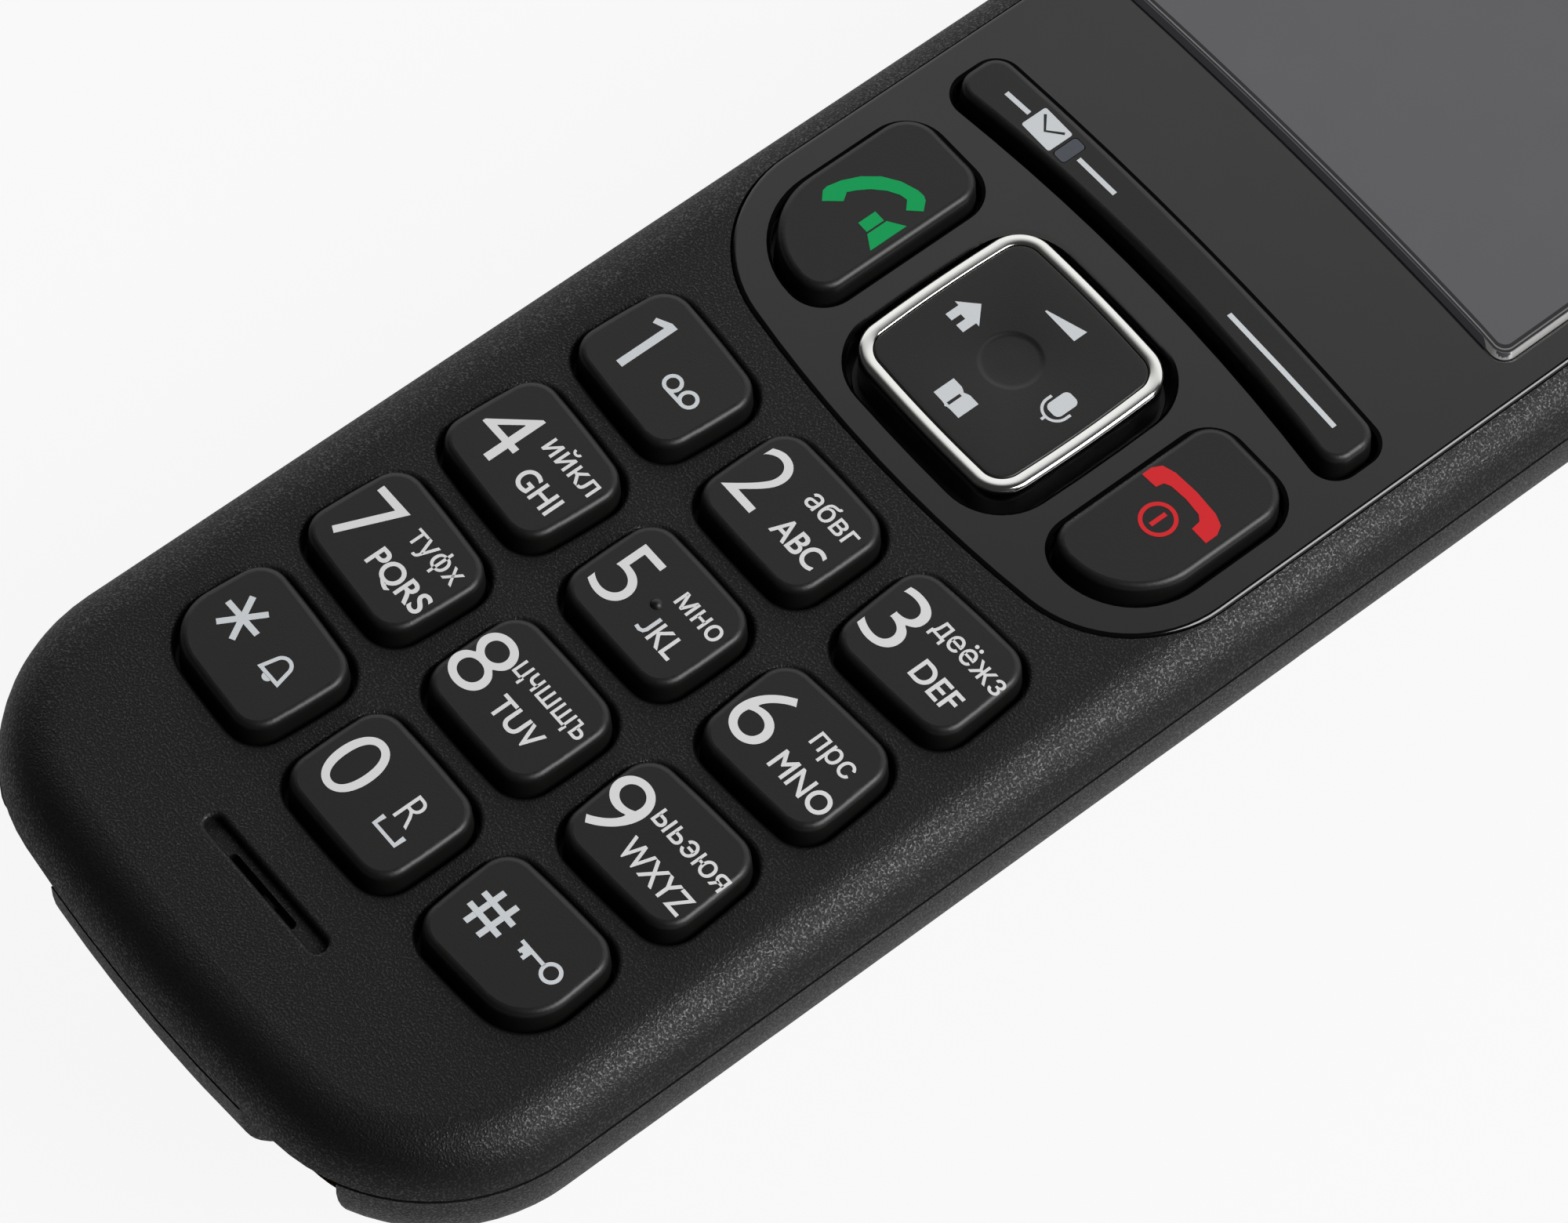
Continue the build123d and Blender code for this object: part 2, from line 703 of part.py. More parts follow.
# Silicone mat on the board: wells for the plungers, a window for the actuator, room for the domes below
plunger_points = [
    (plane.origin.X, plane.origin.Y)
    for plane in (key_plane(column, row, mat_z) for name, column, row in number_keys)
]
plunger_points += [(side * call_middle[0], call_middle[1]) for side in (-1, 1)]
bar_points = [(side * bar_plunger_x, bar_y) for side in (-1, 1)]
nav_throw = arm_reach - arm_width / 2
nav_points = [(-nav_throw, nav_y), (nav_throw, nav_y), (0, nav_y - nav_throw), (0, nav_y + nav_throw)]
nav_window = 2 * (nav_reach + mat_window_gap)
with BuildPart() as keypad_mat:
    with BuildSketch(Plane.XY.offset(board_z)):
        with Locations((0, (mat_top_y + mat_bottom_y) / 2)):
            RectangleRounded(2 * mat_half_width, mat_top_y - mat_bottom_y, key_corner)
        with Locations((0, nav_y)):
            Rectangle(nav_window, nav_window, mode=Mode.SUBTRACT)
    extrude(amount=mat_thickness)
    with BuildSketch(Plane.XY.offset(mat_z)):
        with Locations(*plunger_points):
            Circle(plunger_radius + mat_well_gap)
    extrude(amount=-mat_well_depth, mode=Mode.SUBTRACT)
    with BuildSketch(Plane.XY.offset(board_z)):
        with Locations(*plunger_points):
            Circle(dome_radius + fit)
    extrude(amount=dome_pocket, mode=Mode.SUBTRACT)
keypad_mat.part.label = "keypad_mat"
export_step(keypad_mat.part, "parts/keypad_mat.step")

# Snap domes: pressed steel discs on the board, one under each plunger
dome_sphere = (dome_radius**2 + dome_height**2) / (2 * dome_height)
with BuildPart() as snap_domes:
    with BuildSketch(Plane.XZ) as dome_profile:
        with BuildLine():
            ThreePointArc(
                (0, dome_height),
                (dome_radius / 2, dome_height - dome_sphere + sqrt(dome_sphere**2 - dome_radius**2 / 4)),
                (dome_radius, 0),
            )
            Line((dome_radius, 0), (0, 0))
            Line((0, 0), (0, dome_height))
        make_face()
    revolve(axis=Axis.Z)
dome = snap_domes.part
with BuildPart() as snap_domes:
    for x, y in plunger_points + bar_points + nav_points:
        add(dome.moved(Location((x, y, board_z))))
snap_domes.part.label = "snap_domes"
export_step(snap_domes.part, "parts/snap_domes.step")

# Main board, screened can below it, light for messages
with BuildPart() as main_board:
    with BuildSketch(Plane.XY.offset(board_floor_z)):
        add(
            plan(
                board_half_width,
                board_bottom_y,
                board_top_y,
                board_corner,
                board_corner,
                end_rise,
                end_rise,
            )
        )
        with Locations(*screw_points):
            Circle(screw_radius + fit, mode=Mode.SUBTRACT)
    extrude(amount=board_thickness)
main_board.part.label = "main_board"
export_step(main_board.part, "parts/main_board.step")

with BuildPart() as shield_can:
    with BuildSketch(Plane.XY.offset(board_floor_z)):
        with Locations((0, can_y)):
            RectangleRounded(can_width, can_height, can_corner)
    extrude(amount=-can_depth)
    offset(amount=-can_wall, openings=shield_can.faces().sort_by(Axis.Z)[-1])
shield_can.part.label = "shield_can"
export_step(shield_can.part, "parts/shield_can.step")

with BuildPart() as message_led:
    with BuildSketch(Plane.XY.offset(board_z)):
        with Locations((light_x, light_y)):
            Rectangle(light_width, light_height)
    extrude(amount=led_height)
message_led.part.label = "message_led"
export_step(message_led.part, "parts/message_led.step")

# Microphone in its rubber boot, which seals it to the slot
with BuildPart() as mic_boot:
    with BuildSketch(Plane.XY.offset(board_z)):
        with Locations((0, mic_y)):
            RectangleRounded(boot_length, boot_width, boot_corner)
    extrude(amount=ceiling_z - board_z)
    with BuildSketch(Plane.XY.offset(board_z)):
        with Locations((0, mic_y)):
            Circle(mic_radius + fit / 2)
    extrude(amount=mic_height, mode=Mode.SUBTRACT)
    with BuildSketch(Plane.XY.offset(board_z)):
        with Locations((0, mic_y)):
            Circle(mic_port)
    extrude(amount=ceiling_z - board_z, mode=Mode.SUBTRACT)
mic_boot.part.label = "mic_boot"
export_step(mic_boot.part, "parts/mic_boot.step")

with BuildPart() as microphone:
    with BuildSketch(Plane.XY.offset(board_z)):
        with Locations((0, mic_y)):
            Circle(mic_radius)
    extrude(amount=mic_height)
    with BuildSketch(Plane.XY.offset(board_z + mic_height)):
        with Locations((0, mic_y)):
            Circle(mic_port)
    extrude(amount=-mic_height / 2, mode=Mode.SUBTRACT)
microphone.part.label = "microphone"
export_step(microphone.part, "parts/microphone.step")

# Earpiece speaker on the board, with a foam ring up to the front wall
with BuildPart() as earpiece_speaker:
    with BuildSketch(Plane.XY.offset(board_z)):
        with Locations((0, ear_y)):
            Circle(ear_radius)
    extrude(amount=ear_height)
    with BuildSketch(Plane.XY.offset(board_z + ear_height)):
        with Locations((0, ear_y)):
            Circle(ear_radius - ear_rim)
    extrude(amount=-ear_recess, mode=Mode.SUBTRACT)
earpiece_speaker.part.label = "earpiece_speaker"
export_step(earpiece_speaker.part, "parts/earpiece_speaker.step")

with BuildPart() as earpiece_gasket:
    with BuildSketch(Plane.XY.offset(board_z + ear_height)):
        with Locations((0, ear_y)):
            Circle(ear_radius)
            Circle(ear_radius - ear_rim, mode=Mode.SUBTRACT)
    extrude(amount=ceiling_z - board_z - ear_height)
earpiece_gasket.part.label = "earpiece_gasket"
export_step(earpiece_gasket.part, "parts/earpiece_gasket.step")

# Hands-free loudspeaker: stands on its gasket over the grille
speaker_z = shell_wall + gasket_height
with BuildPart() as loudspeaker_gasket:
    with BuildSketch(Plane.XY.offset(shell_wall)):
        with Locations((0, grille_y)):
            Circle(speaker_radius)
            Circle(speaker_radius - speaker_flange, mode=Mode.SUBTRACT)
    extrude(amount=gasket_height)
loudspeaker_gasket.part.label = "loudspeaker_gasket"
export_step(loudspeaker_gasket.part, "parts/loudspeaker_gasket.step")

with BuildPart() as loudspeaker:
    with BuildSketch(Plane.XY.offset(speaker_z)):
        with Locations((0, grille_y)):
            Circle(speaker_radius)
    extrude(amount=speaker_flange)
    with BuildSketch(Plane.XY.offset(speaker_z)):
        with Locations((0, grille_y)):
            Circle(speaker_magnet)
    extrude(amount=speaker_height)
loudspeaker.part.label = "loudspeaker"
export_step(loudspeaker.part, "parts/loudspeaker.step")

# Rear shell: hull with cavity, recess for the cover, battery bay, bosses, tongue and contact recesses
lining_depth = cover_seat + cover_lining
notch_width = notch_outer_x - notch_inner_x
notch_points = [side * (notch_inner_x + notch_outer_x) / 2 for side in (-1, 1)]
tab_slot_y = cover_top_y + tab_reach + fit
tab_slot_length = tab_slot_y - cell_middle_y - bay_half_length
outer_form = hull(0, 0)
wall_form = hull(shell_wall, shell_wall)
seat_form = hull(cover_seat, cover_seat)
lining_form = hull(lining_depth, lining_depth)
with BuildPart() as lining:
    with BuildSketch(Plane.XY):
        lining_half_width = cover_half_width + cover_gap + shell_wall
        with Locations((0, cover_top_y + cover_gap + shell_wall)):
            Rectangle(2 * lining_half_width, length, align=(Align.CENTER, Align.MAX))
    extrude(amount=cover_tail_z + shell_wall)
    add(outer_form, mode=Mode.INTERSECT)
    add(lining_form, mode=Mode.SUBTRACT)
with BuildPart() as end_lining:
    with BuildSketch(Plane.XY.offset(cover_tail_z)):
        with Locations(*[(x, end_wall_y) for x in notch_points]):
            Rectangle(notch_width + 2 * end_wall, length, align=(Align.CENTER, Align.MAX))
    extrude(amount=hull_top - cover_tail_z)
    add(outer_form, mode=Mode.INTERSECT)
    add(hull(notch_depth + end_wall, notch_depth + end_wall), mode=Mode.SUBTRACT)
with BuildPart() as blocks:
    with BuildSketch(Plane.XY):
        with Locations((0, cell_middle_y)):
            Rectangle(2 * (bay_half_width + bay_wall), 2 * (bay_half_length + bay_wall))
    extrude(amount=bay_ceiling_z + bay_wall)
    with BuildSketch(Plane.XY):
        with Locations(*screw_points):
            Circle(boss_radius)
    extrude(amount=board_floor_z)
    add(outer_form, mode=Mode.INTERSECT)
with BuildPart() as cover_recess:
    with BuildSketch(Plane.XY.offset(-shell_wall)):
        with Locations((0, cover_top_y + cover_gap)):
            Rectangle(2 * (cover_half_width + cover_gap), length, align=(Align.CENTER, Align.MAX))
    extrude(amount=cover_tail_z + cover_gap + shell_wall)
    add(seat_form, mode=Mode.SUBTRACT)
with BuildPart() as notches:
    with BuildSketch(Plane.XY.offset(notch_floor_z)):
        with Locations(*[(x, -half_length / 2) for x in notch_points]):
            Rectangle(notch_width, half_length, align=(Align.CENTER, Align.MAX))
    extrude(amount=face_z - notch_floor_z)
    add(hull(notch_depth, notch_depth), mode=Mode.SUBTRACT)
with BuildPart() as rear_housing:
    add(outer_form)
    add(wall_form, mode=Mode.SUBTRACT)
    add(lining.part)
    add(end_lining.part)
    add(blocks.part)
    add(cover_recess.part, mode=Mode.SUBTRACT)
    add(notches.part, mode=Mode.SUBTRACT)
    with BuildSketch(Plane.XY.offset(-shell_wall)):
        with Locations((0, cell_middle_y)):
            Rectangle(2 * bay_half_width, 2 * bay_half_length)
    extrude(amount=bay_ceiling_z + shell_wall, mode=Mode.SUBTRACT)
    with BuildSketch(Plane.XY.offset(cover_wall - fit)):
        with Locations((-tab_x, tab_slot_y), (tab_x, tab_slot_y)):
            Rectangle(tab_width + 2 * fit, tab_slot_length, align=(Align.CENTER, Align.MAX))
    extrude(amount=tab_thickness + 2 * fit, mode=Mode.SUBTRACT)
    with BuildSketch(Plane.XY):
        with Locations(*screw_points):
            Circle(screw_radius + fit)
    extrude(amount=hull_top, mode=Mode.SUBTRACT)
    for x, y, head_z in screw_heads:
        with BuildSketch(Plane.XY.offset(head_z + screw_head_height)):
            with Locations((x, y)):
                Circle(screw_head_radius + fit)
        extrude(amount=-head_z - screw_head_height, mode=Mode.SUBTRACT)
    with BuildSketch(Plane.XY):
        with Locations((0, grille_y)):
            with GridLocations(0, grille_pitch, 1, grille_slots):
                SlotOverall(grille_slot_length, grille_slot_width)
    extrude(amount=shell_wall, mode=Mode.SUBTRACT)
    with BuildSketch(Plane.XY.offset(parting_z + lip_height)):
        add(body_plan(shell_wall + fit))
        add(body_plan(shell_wall + fit + lip_wall), mode=Mode.SUBTRACT)
    extrude(amount=-lip_height - lip_root)
rear_housing.part.label = "rear_housing"
export_step(rear_housing.part, "parts/rear_housing.step")

# Battery cover: skin of the back, with grip grooves and two tabs under the rear shell
with BuildPart() as battery_cover:
    with BuildSketch(Plane.XY):
        with Locations((0, cover_top_y)):
            Rectangle(2 * cover_half_width, length, align=(Align.CENTER, Align.MAX))
    extrude(amount=cover_tail_z)
    add(outer_form, mode=Mode.INTERSECT)
    add(hull(cover_wall, cover_wall), mode=Mode.SUBTRACT)
    with BuildSketch(Plane.XY.offset(cover_wall)):
        with Locations((-tab_x, cover_top_y + tab_reach), (tab_x, cover_top_y + tab_reach)):
            Rectangle(tab_width, tab_reach + tab_root, align=(Align.CENTER, Align.MAX))
    extrude(amount=tab_thickness)
    with BuildSketch(Plane.XY):
        with Locations((0, grip_y)):
            with GridLocations(0, grip_pitch, 1, grip_grooves):
                SlotOverall(groove_length, groove_width)
    extrude(amount=groove_depth, mode=Mode.SUBTRACT)
battery_cover.part.label = "battery_cover"
export_step(battery_cover.part, "parts/battery_cover.step")

# Two AAA cells side by side, one each way round
can_length = cell_length - nipple_height
for name, side in (("battery_cell_left", -1), ("battery_cell_right", 1)):
    positive = Plane(
        origin=(side * cell_pitch / 2, cell_middle_y - side * cell_length / 2, cell_z),
        x_dir=(1, 0, 0),
        z_dir=(0, side, 0),
    )
    with BuildPart() as cell:
        with BuildSketch(positive):
            Circle(cell_radius)
        extrude(amount=can_length)
        fillet(cell.edges().group_by(Axis.Y)[-1], cell_edge)
        fillet(cell.edges().group_by(Axis.Y)[0], cell_edge)
        with BuildSketch(positive.offset(can_length)):
            Circle(nipple_radius)
        extrude(amount=nipple_height)
    cell.part.label = name
    export_step(cell.part, f"parts/{name}.step")

# Contacts at the ends of the bay: a flat plate at each positive end, a conical spring at each negative end
with BuildPart() as battery_plates:
    for side in (-1, 1):
        wall = Plane(
            origin=(side * cell_pitch / 2, cell_middle_y + side * bay_half_length, cell_z),
            x_dir=(1, 0, 0),
            z_dir=(0, -side, 0),
        )
        with BuildSketch(wall):
            RectangleRounded(plate_size, plate_size, plate_corner)
        extrude(amount=plate_thickness)
        with BuildSketch(wall.offset(plate_thickness)):
            Circle(nipple_radius)
        extrude(amount=bay_end_gap - plate_thickness)
battery_plates.part.label = "battery_plates"
export_step(battery_plates.part, "parts/battery_plates.step")

with BuildPart() as battery_springs:
    for side in (-1, 1):
        wall = Plane(
            origin=(side * cell_pitch / 2, cell_middle_y - side * bay_half_length, cell_z),
            x_dir=(1, 0, 0),
            z_dir=(0, side, 0),
        )
        with BuildSketch(wall):
            Circle(spring_root)
            Circle(spring_root - spring_wire, mode=Mode.SUBTRACT)
        with BuildSketch(wall.offset(bay_end_gap)):
            Circle(spring_tip)
            Circle(spring_tip - spring_wire, mode=Mode.SUBTRACT)
        loft(ruled=True)
battery_springs.part.label = "battery_springs"
export_step(battery_springs.part, "parts/battery_springs.step")

# Charging contacts: sprung strips that lie on the floors of the two recesses
with BuildPart() as charging_contacts:
    with BuildSketch(Plane.XY.offset(contact_bottom_z)):
        with Locations(*[(x, -half_length / 2) for x in notch_points]):
            Rectangle(contact_width, half_length, align=(Align.CENTER, Align.MAX))
    extrude(amount=contact_top_z - contact_bottom_z)
    add(hull(notch_depth - contact_thickness, notch_depth - contact_thickness), mode=Mode.INTERSECT)
    add(hull(notch_depth, notch_depth), mode=Mode.SUBTRACT)
charging_contacts.part.label = "charging_contacts"
export_step(charging_contacts.part, "parts/charging_contacts.step")

# Screws: heads in the recess under the cover, threads in the front shell's bosses
with BuildPart() as housing_screws:
    for x, y, head_z in screw_heads:
        with BuildSketch(Plane.XY.offset(head_z)):
            with Locations((x, y)):
                Circle(screw_head_radius)
        extrude(amount=screw_head_height)
        with BuildSketch(Plane.XY.offset(head_z)):
            with Locations((x, y)):
                Circle(screw_radius)
        extrude(amount=board_z - head_z)
        with BuildSketch(Plane.XY.offset(board_z)):
            with Locations((x, y)):
                Circle(screw_pilot)
        extrude(amount=screw_bite)
housing_screws.part.label = "housing_screws"
export_step(housing_screws.part, "parts/housing_screws.step")
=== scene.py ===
"""Cordless telephone handset: finishes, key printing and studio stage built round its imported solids.

Metres, in the frame of the solids: the origin is in the middle of the back, +Y points to
the earpiece and +Z out of the keypad. Tables of printed shapes are in millimetres.
"""
import math

import bmesh
import bpy
from bpy.props import FloatProperty, FloatVectorProperty, PointerProperty
from bpy.types import Operator, Panel, PropertyGroup
from mathutils import Matrix, Vector


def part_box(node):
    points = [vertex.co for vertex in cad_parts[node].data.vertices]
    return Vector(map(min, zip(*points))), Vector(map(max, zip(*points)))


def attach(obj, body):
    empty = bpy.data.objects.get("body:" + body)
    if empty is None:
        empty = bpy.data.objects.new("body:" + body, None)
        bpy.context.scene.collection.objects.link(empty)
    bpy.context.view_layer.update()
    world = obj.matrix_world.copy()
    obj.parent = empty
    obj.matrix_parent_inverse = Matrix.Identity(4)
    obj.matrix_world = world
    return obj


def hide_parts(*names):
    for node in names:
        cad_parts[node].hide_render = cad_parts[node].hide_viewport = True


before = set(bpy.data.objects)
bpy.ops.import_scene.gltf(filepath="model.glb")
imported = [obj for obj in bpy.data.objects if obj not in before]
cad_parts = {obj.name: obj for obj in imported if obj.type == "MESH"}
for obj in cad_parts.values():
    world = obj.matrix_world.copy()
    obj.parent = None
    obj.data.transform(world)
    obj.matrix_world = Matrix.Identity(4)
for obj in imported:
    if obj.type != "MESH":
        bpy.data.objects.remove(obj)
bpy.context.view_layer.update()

bl_info = {
    "name": "Cordless Handset",
    "version": (1, 0, 0),
    "blender": (4, 5, 0),
    "location": "3D View > Sidebar > Handset",
    "description": "Finishes, key printing and stage for a cordless telephone handset",
    "category": "Object",
}

MM = 0.001
ROOT_BODY = "handset"

# Heights of the printed surfaces, read from the solids
KEY_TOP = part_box("key_1")[1].z
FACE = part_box("display_window")[1].z

# Navigation pad: its middle, and its cap's top just under the ring's
PAD_MIDDLE = sum(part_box("nav_ring"), Vector()) / 2
PAD_TOP = KEY_TOP - 0.04 * MM


def linear(code):
    """Linear colour of an sRGB hex code such as #2A2828."""
    shares = [int(code[i : i + 2], 16) / 255 for i in (1, 3, 5)]
    return tuple(s / 12.92 if s <= 0.04045 else ((s + 0.055) / 1.055) ** 2.4 for s in shares)


def colour(name, description, code):
    """Colour property whose default is an sRGB hex code."""
    return FloatVectorProperty(
        name=name, description=description, default=linear(code), size=3, min=0, max=1, subtype="COLOR"
    )


def length(name, description, millimetres):
    """Length property whose default is in millimetres."""
    return FloatProperty(
        name=name, description=description, default=millimetres * MM, precision=5, unit="LENGTH"
    )


def number(name, description, default):
    """Property for a number that is never below zero."""
    return FloatProperty(name=name, description=description, default=default, min=0)


class HandsetFinish(PropertyGroup):
    """Colours and surface sizes."""

    housing: colour("Housing", "Moulded shells of the handset", "#100F0F")
    fascia: colour("Fascia", "Glossy front plate", "#060607")
    key: colour("Keys", "Satin key tops", "#131312")
    panel: colour("Display", "Unlit display under its window", "#504F53")
    light: colour("Message light", "Smoked light pipe in the softkey bar", "#2C3440")
    white_ink: colour("White ink", "Numbers, letters and signs", "#D9DDE0")
    green_ink: colour("Green ink", "Sign on the call key", "#00A458")
    red_ink: colour("Red ink", "Sign on the end key", "#DC262C")
    grain_size: length("Grain size", "Width of one grain in the moulded texture", 0.16)
    grain_depth: length("Grain depth", "Depth of the moulded texture", 0.06)


class HandsetPrinting(PropertyGroup):
    """Sizes of the printed numbers, letters and signs."""

    ink: length("Ink thickness", "Thickness of the printed ink", 0.02)
    capital: length("Capital height", "Height of the Latin letters", 1.6)
    small: length("Small letter height", "Height of the Cyrillic letters without their tails", 1.17)
    digit_weight: length("Digit weight", "Ink added all round a digit", -0.055)
    latin_weight: length("Latin weight", "Ink added all round a Latin letter", 0.045)
    cyrillic_weight: length("Cyrillic weight", "Ink added all round a Cyrillic letter", 0.02)


class HandsetPad(PropertyGroup):
    """Sizes of the navigation pad's cap and of the chromed ring round it."""

    half_width: length("Half width", "Half the width of the cap, without the bow of its sides", 6.72)
    corner: length("Corner", "Corner radius of the cap", 1.5)
    bow: length("Bow", "How far the sides bow outwards", 0.22)
    ring_band: length("Ring band", "Width of the chromed ring", 0.95)
    ring_edge: length("Ring edge", "Radius of the ring's outer edge", 0.3)


class HandsetStage(PropertyGroup):
    """Floor, light and camera."""

    floor: colour("Floor", "Studio sheet, without the glow that makes it white", "#C4C4C4")
    floor_size: length("Floor size", "Side of the square floor", 6000.0)
    shadow: number("Shadow", "Share of the shadow that the floor keeps, up to 1", 0.09)
    bright: number("Bright", "Strength of the bright side of the studio", 1.0)
    dark: number("Dark", "Strength of the rest of the studio", 0.03)
    overhead: number("Overhead", "Power of the overhead lamp in watts", 7.0)
    side: number("Side", "Power of the side lamp in watts", 0.45)
    lens: number("Lens", "Focal length in millimetres", 144.0)
    sensor: number("Sensor", "Width of the sensor in millimetres", 36.0)


def settings(group):
    """One of the scene's groups of settings."""
    return getattr(bpy.context.scene, group)


def add_node(tree, kind, attributes=None, inputs=None):
    """Adds a node, sets its attributes and sets or links its inputs."""
    node = tree.nodes.new(kind)
    for name, value in (attributes or {}).items():
        setattr(node, name, value)
    for name, value in (inputs or {}).items():
        if isinstance(value, bpy.types.NodeSocket):
            tree.links.new(value, node.inputs[name])
        else:
            node.inputs[name].default_value = value
    return node


def new_material(name, rgb, roughness, metallic=0.0, ior=1.5, coat=0.0):
    """Material with one surface shader; returns it with its tree and shader."""
    material = bpy.data.materials.new(name)
    material.use_nodes = True
    material.node_tree.nodes.clear()
    shader = add_node(
        material.node_tree,
        "ShaderNodeBsdfPrincipled",
        inputs={
            "Base Color": (*rgb, 1),
            "Roughness": roughness,
            "Metallic": metallic,
            "IOR": ior,
            "Coat Weight": coat,
            "Coat Roughness": 0.03,
        },
    )
    add_node(material.node_tree, "ShaderNodeOutputMaterial", inputs={"Surface": shader.outputs["BSDF"]})
    return material, material.node_tree, shader


def object_noise(tree, size, detail, roughness):
    """Noise in the coordinates of the object, with features of a size in metres."""
    place = add_node(tree, "ShaderNodeTexCoord")
    return add_node(
        tree,
        "ShaderNodeTexNoise",
        inputs={
            "Vector": place.outputs["Object"],
            "Scale": 1 / size,
            "Detail": detail,
            "Roughness": roughness,
        },
    )


def grain(tree, shader, size, depth, strength):
    """Bump of rounded grains, their width and depth in metres; returns its noise."""
    noise = object_noise(tree, size, 2.0, 0.6)
    bump = add_node(
        tree,
        "ShaderNodeBump",
        inputs={"Height": noise.outputs["Fac"], "Distance": depth, "Strength": strength},
    )
    tree.links.new(bump.outputs["Normal"], shader.inputs["Normal"])
    return noise


def blend(tree, shader, socket, noise, low, high, at_low, at_high):
    """Drives one number of a shader by a noise: at_low up to the value low, at_high from high."""
    spread = add_node(
        tree,
        "ShaderNodeMapRange",
        inputs={
            "Value": noise.outputs["Fac"],
            "From Min": low,
            "From Max": high,
            "To Min": at_low,
            "To Max": at_high,
        },
    )
    tree.links.new(spread.outputs["Result"], shader.inputs[socket])


# Moulded grain: the noise of its hollows and of its tips, then their roughness or their shine
GRAIN_ROUGHNESS = (0.4, 0.65, 0.56, 0.3)
GRAIN_SHINE = (0.53, 0.66, 0.34, 0.95)

# The lacquer on the keys keeps this share of the grain's depth, at this strength
LACQUERED_GRAIN = 0.25
LACQUERED_STRENGTH = 0.3

# Uneven polish: the width of its patches, their noise from the brightest to the dullest, and the
# share by which their roughness varies
PATCH = 4.0 * MM
PATCH_NOISE = (0.3, 0.7)
UNEVENNESS = 0.2


def textured_abs():
    """Black ABS moulded in a spark-eroded tool: fine dull grain whose tips catch the light as specks."""
    look = settings("handset_finish")
    _, tree, shader = new_material("textured_black_abs", look.housing, 0.42, ior=1.46)
    noise = grain(tree, shader, look.grain_size, look.grain_depth, 1.0)
    blend(tree, shader, "Roughness", noise, *GRAIN_ROUGHNESS)
    blend(tree, shader, "Specular IOR Level", noise, *GRAIN_SHINE)


def lacquered_key():
    """Black polycarbonate with soft satin lacquer: an even sheen, barely grained."""
    look = settings("handset_finish")
    _, tree, shader = new_material("satin_lacquered_keys", look.key, 0.42, ior=1.5)
    grain(tree, shader, look.grain_size, look.grain_depth * LACQUERED_GRAIN, LACQUERED_STRENGTH)


def uneven(name, rgb, roughness, **more):
    """Finish whose polish varies a little in patches, as moulding and handling leave it."""
    _, tree, shader = new_material(name, rgb, roughness, **more)
    noise = object_noise(tree, PATCH, 3.0, 0.55)
    dull, bright = roughness * (1 + UNEVENNESS), roughness * (1 - UNEVENNESS)
    blend(tree, shader, "Roughness", noise, *PATCH_NOISE, bright, dull)


def plain_materials():
    """Makes the finishes of the other pieces."""
    look = settings("handset_finish")
    # Fascia: black acrylic moulded in a polished tool, so it mirrors the lamps
    uneven("polished_black_acrylic", look.fascia, 0.12, ior=1.49, coat=0.3)
    # Display: unlit grey liquid crystal right under a clear acrylic window
    uneven("grey_display_in_acrylic", look.panel, 0.2, ior=1.49, coat=0.5)
    # Window's edge: painted highlight, a light grey band and a fainter grey line standing in for the light
    # that the cut acrylic gathers from the pane
    uneven("bright_acrylic_edge", linear("#A9A8A6"), 0.18, ior=1.49)
    uneven("dim_acrylic_edge", linear("#77767A"), 0.25, ior=1.49)
    # Ring: nickel and chrome plated on ABS, nearly a mirror
    uneven("bright_chrome_plating", linear("#EDEDEA"), 0.13, metallic=1.0)
    # Message light: smoked polycarbonate light pipe
    uneven("smoked_polycarbonate", look.light, 0.15, ior=1.58, coat=0.4)
    # Inks: matte screen-printed ink
    uneven("white_screen_ink", look.white_ink, 0.55, ior=1.33)
    uneven("green_screen_ink", look.green_ink, 0.55, ior=1.33)
    uneven("red_screen_ink", look.red_ink, 0.55, ior=1.33)
    # Keypad mat: milky silicone rubber
    uneven("silicone_rubber", linear("#9A9C9C"), 0.6, ior=1.41)
    # Board: green solder mask on glass-fibre laminate
    uneven("solder_mask", linear("#1C5A34"), 0.3, coat=0.3)
    # Domes, can, springs and screws: bare or tinned steel; contacts: gold-flashed brass
    uneven("spring_steel", linear("#B8B7B3"), 0.3, metallic=1.0)
    uneven("gold_flashed_contact", linear("#D9B36C"), 0.25, metallic=1.0)
    # Gaskets and boot: closed-cell foam
    uneven("closed_cell_foam", linear("#1B1B1B"), 0.9, ior=1.45)
    # Backlight: white light guide; actuator and capsules: black moulded nylon
    uneven("white_light_guide", linear("#E6E6E2"), 0.5)
    uneven("black_moulded_frame", linear("#1A1A1A"), 0.5)
    # Cells: printed shrink sleeve
    uneven("blue_shrink_sleeve", linear("#2C3E66"), 0.25, coat=0.5)


# Which finish each solid has
FINISH_OF_NODE = {
    "textured_black_abs": ("front_housing", "rear_housing", "battery_cover"),
    "polished_black_acrylic": ("display_fascia",),
    "grey_display_in_acrylic": ("display_window", "display_panel"),
    "bright_chrome_plating": ("nav_ring",),
    "smoked_polycarbonate": ("message_light",),
    "silicone_rubber": ("keypad_mat",),
    "solder_mask": ("main_board",),
    "spring_steel": (
        "snap_domes",
        "shield_can",
        "microphone",
        "battery_plates",
        "battery_springs",
        "housing_screws",
    ),
    "gold_flashed_contact": ("charging_contacts",),
    "closed_cell_foam": ("mic_boot", "earpiece_gasket", "loudspeaker_gasket"),
    "white_light_guide": ("backlight_frame", "message_led"),
    "black_moulded_frame": ("earpiece_speaker", "loudspeaker", "nav_actuator"),
    "blue_shrink_sleeve": ("battery_cell_left", "battery_cell_right"),
    "satin_lacquered_keys": (
        *(f"key_{name}" for name in (*range(10), "star", "hash")),
        "call_key",
        "end_key",
        "nav_key",
        "softkey_bar",
    ),
}


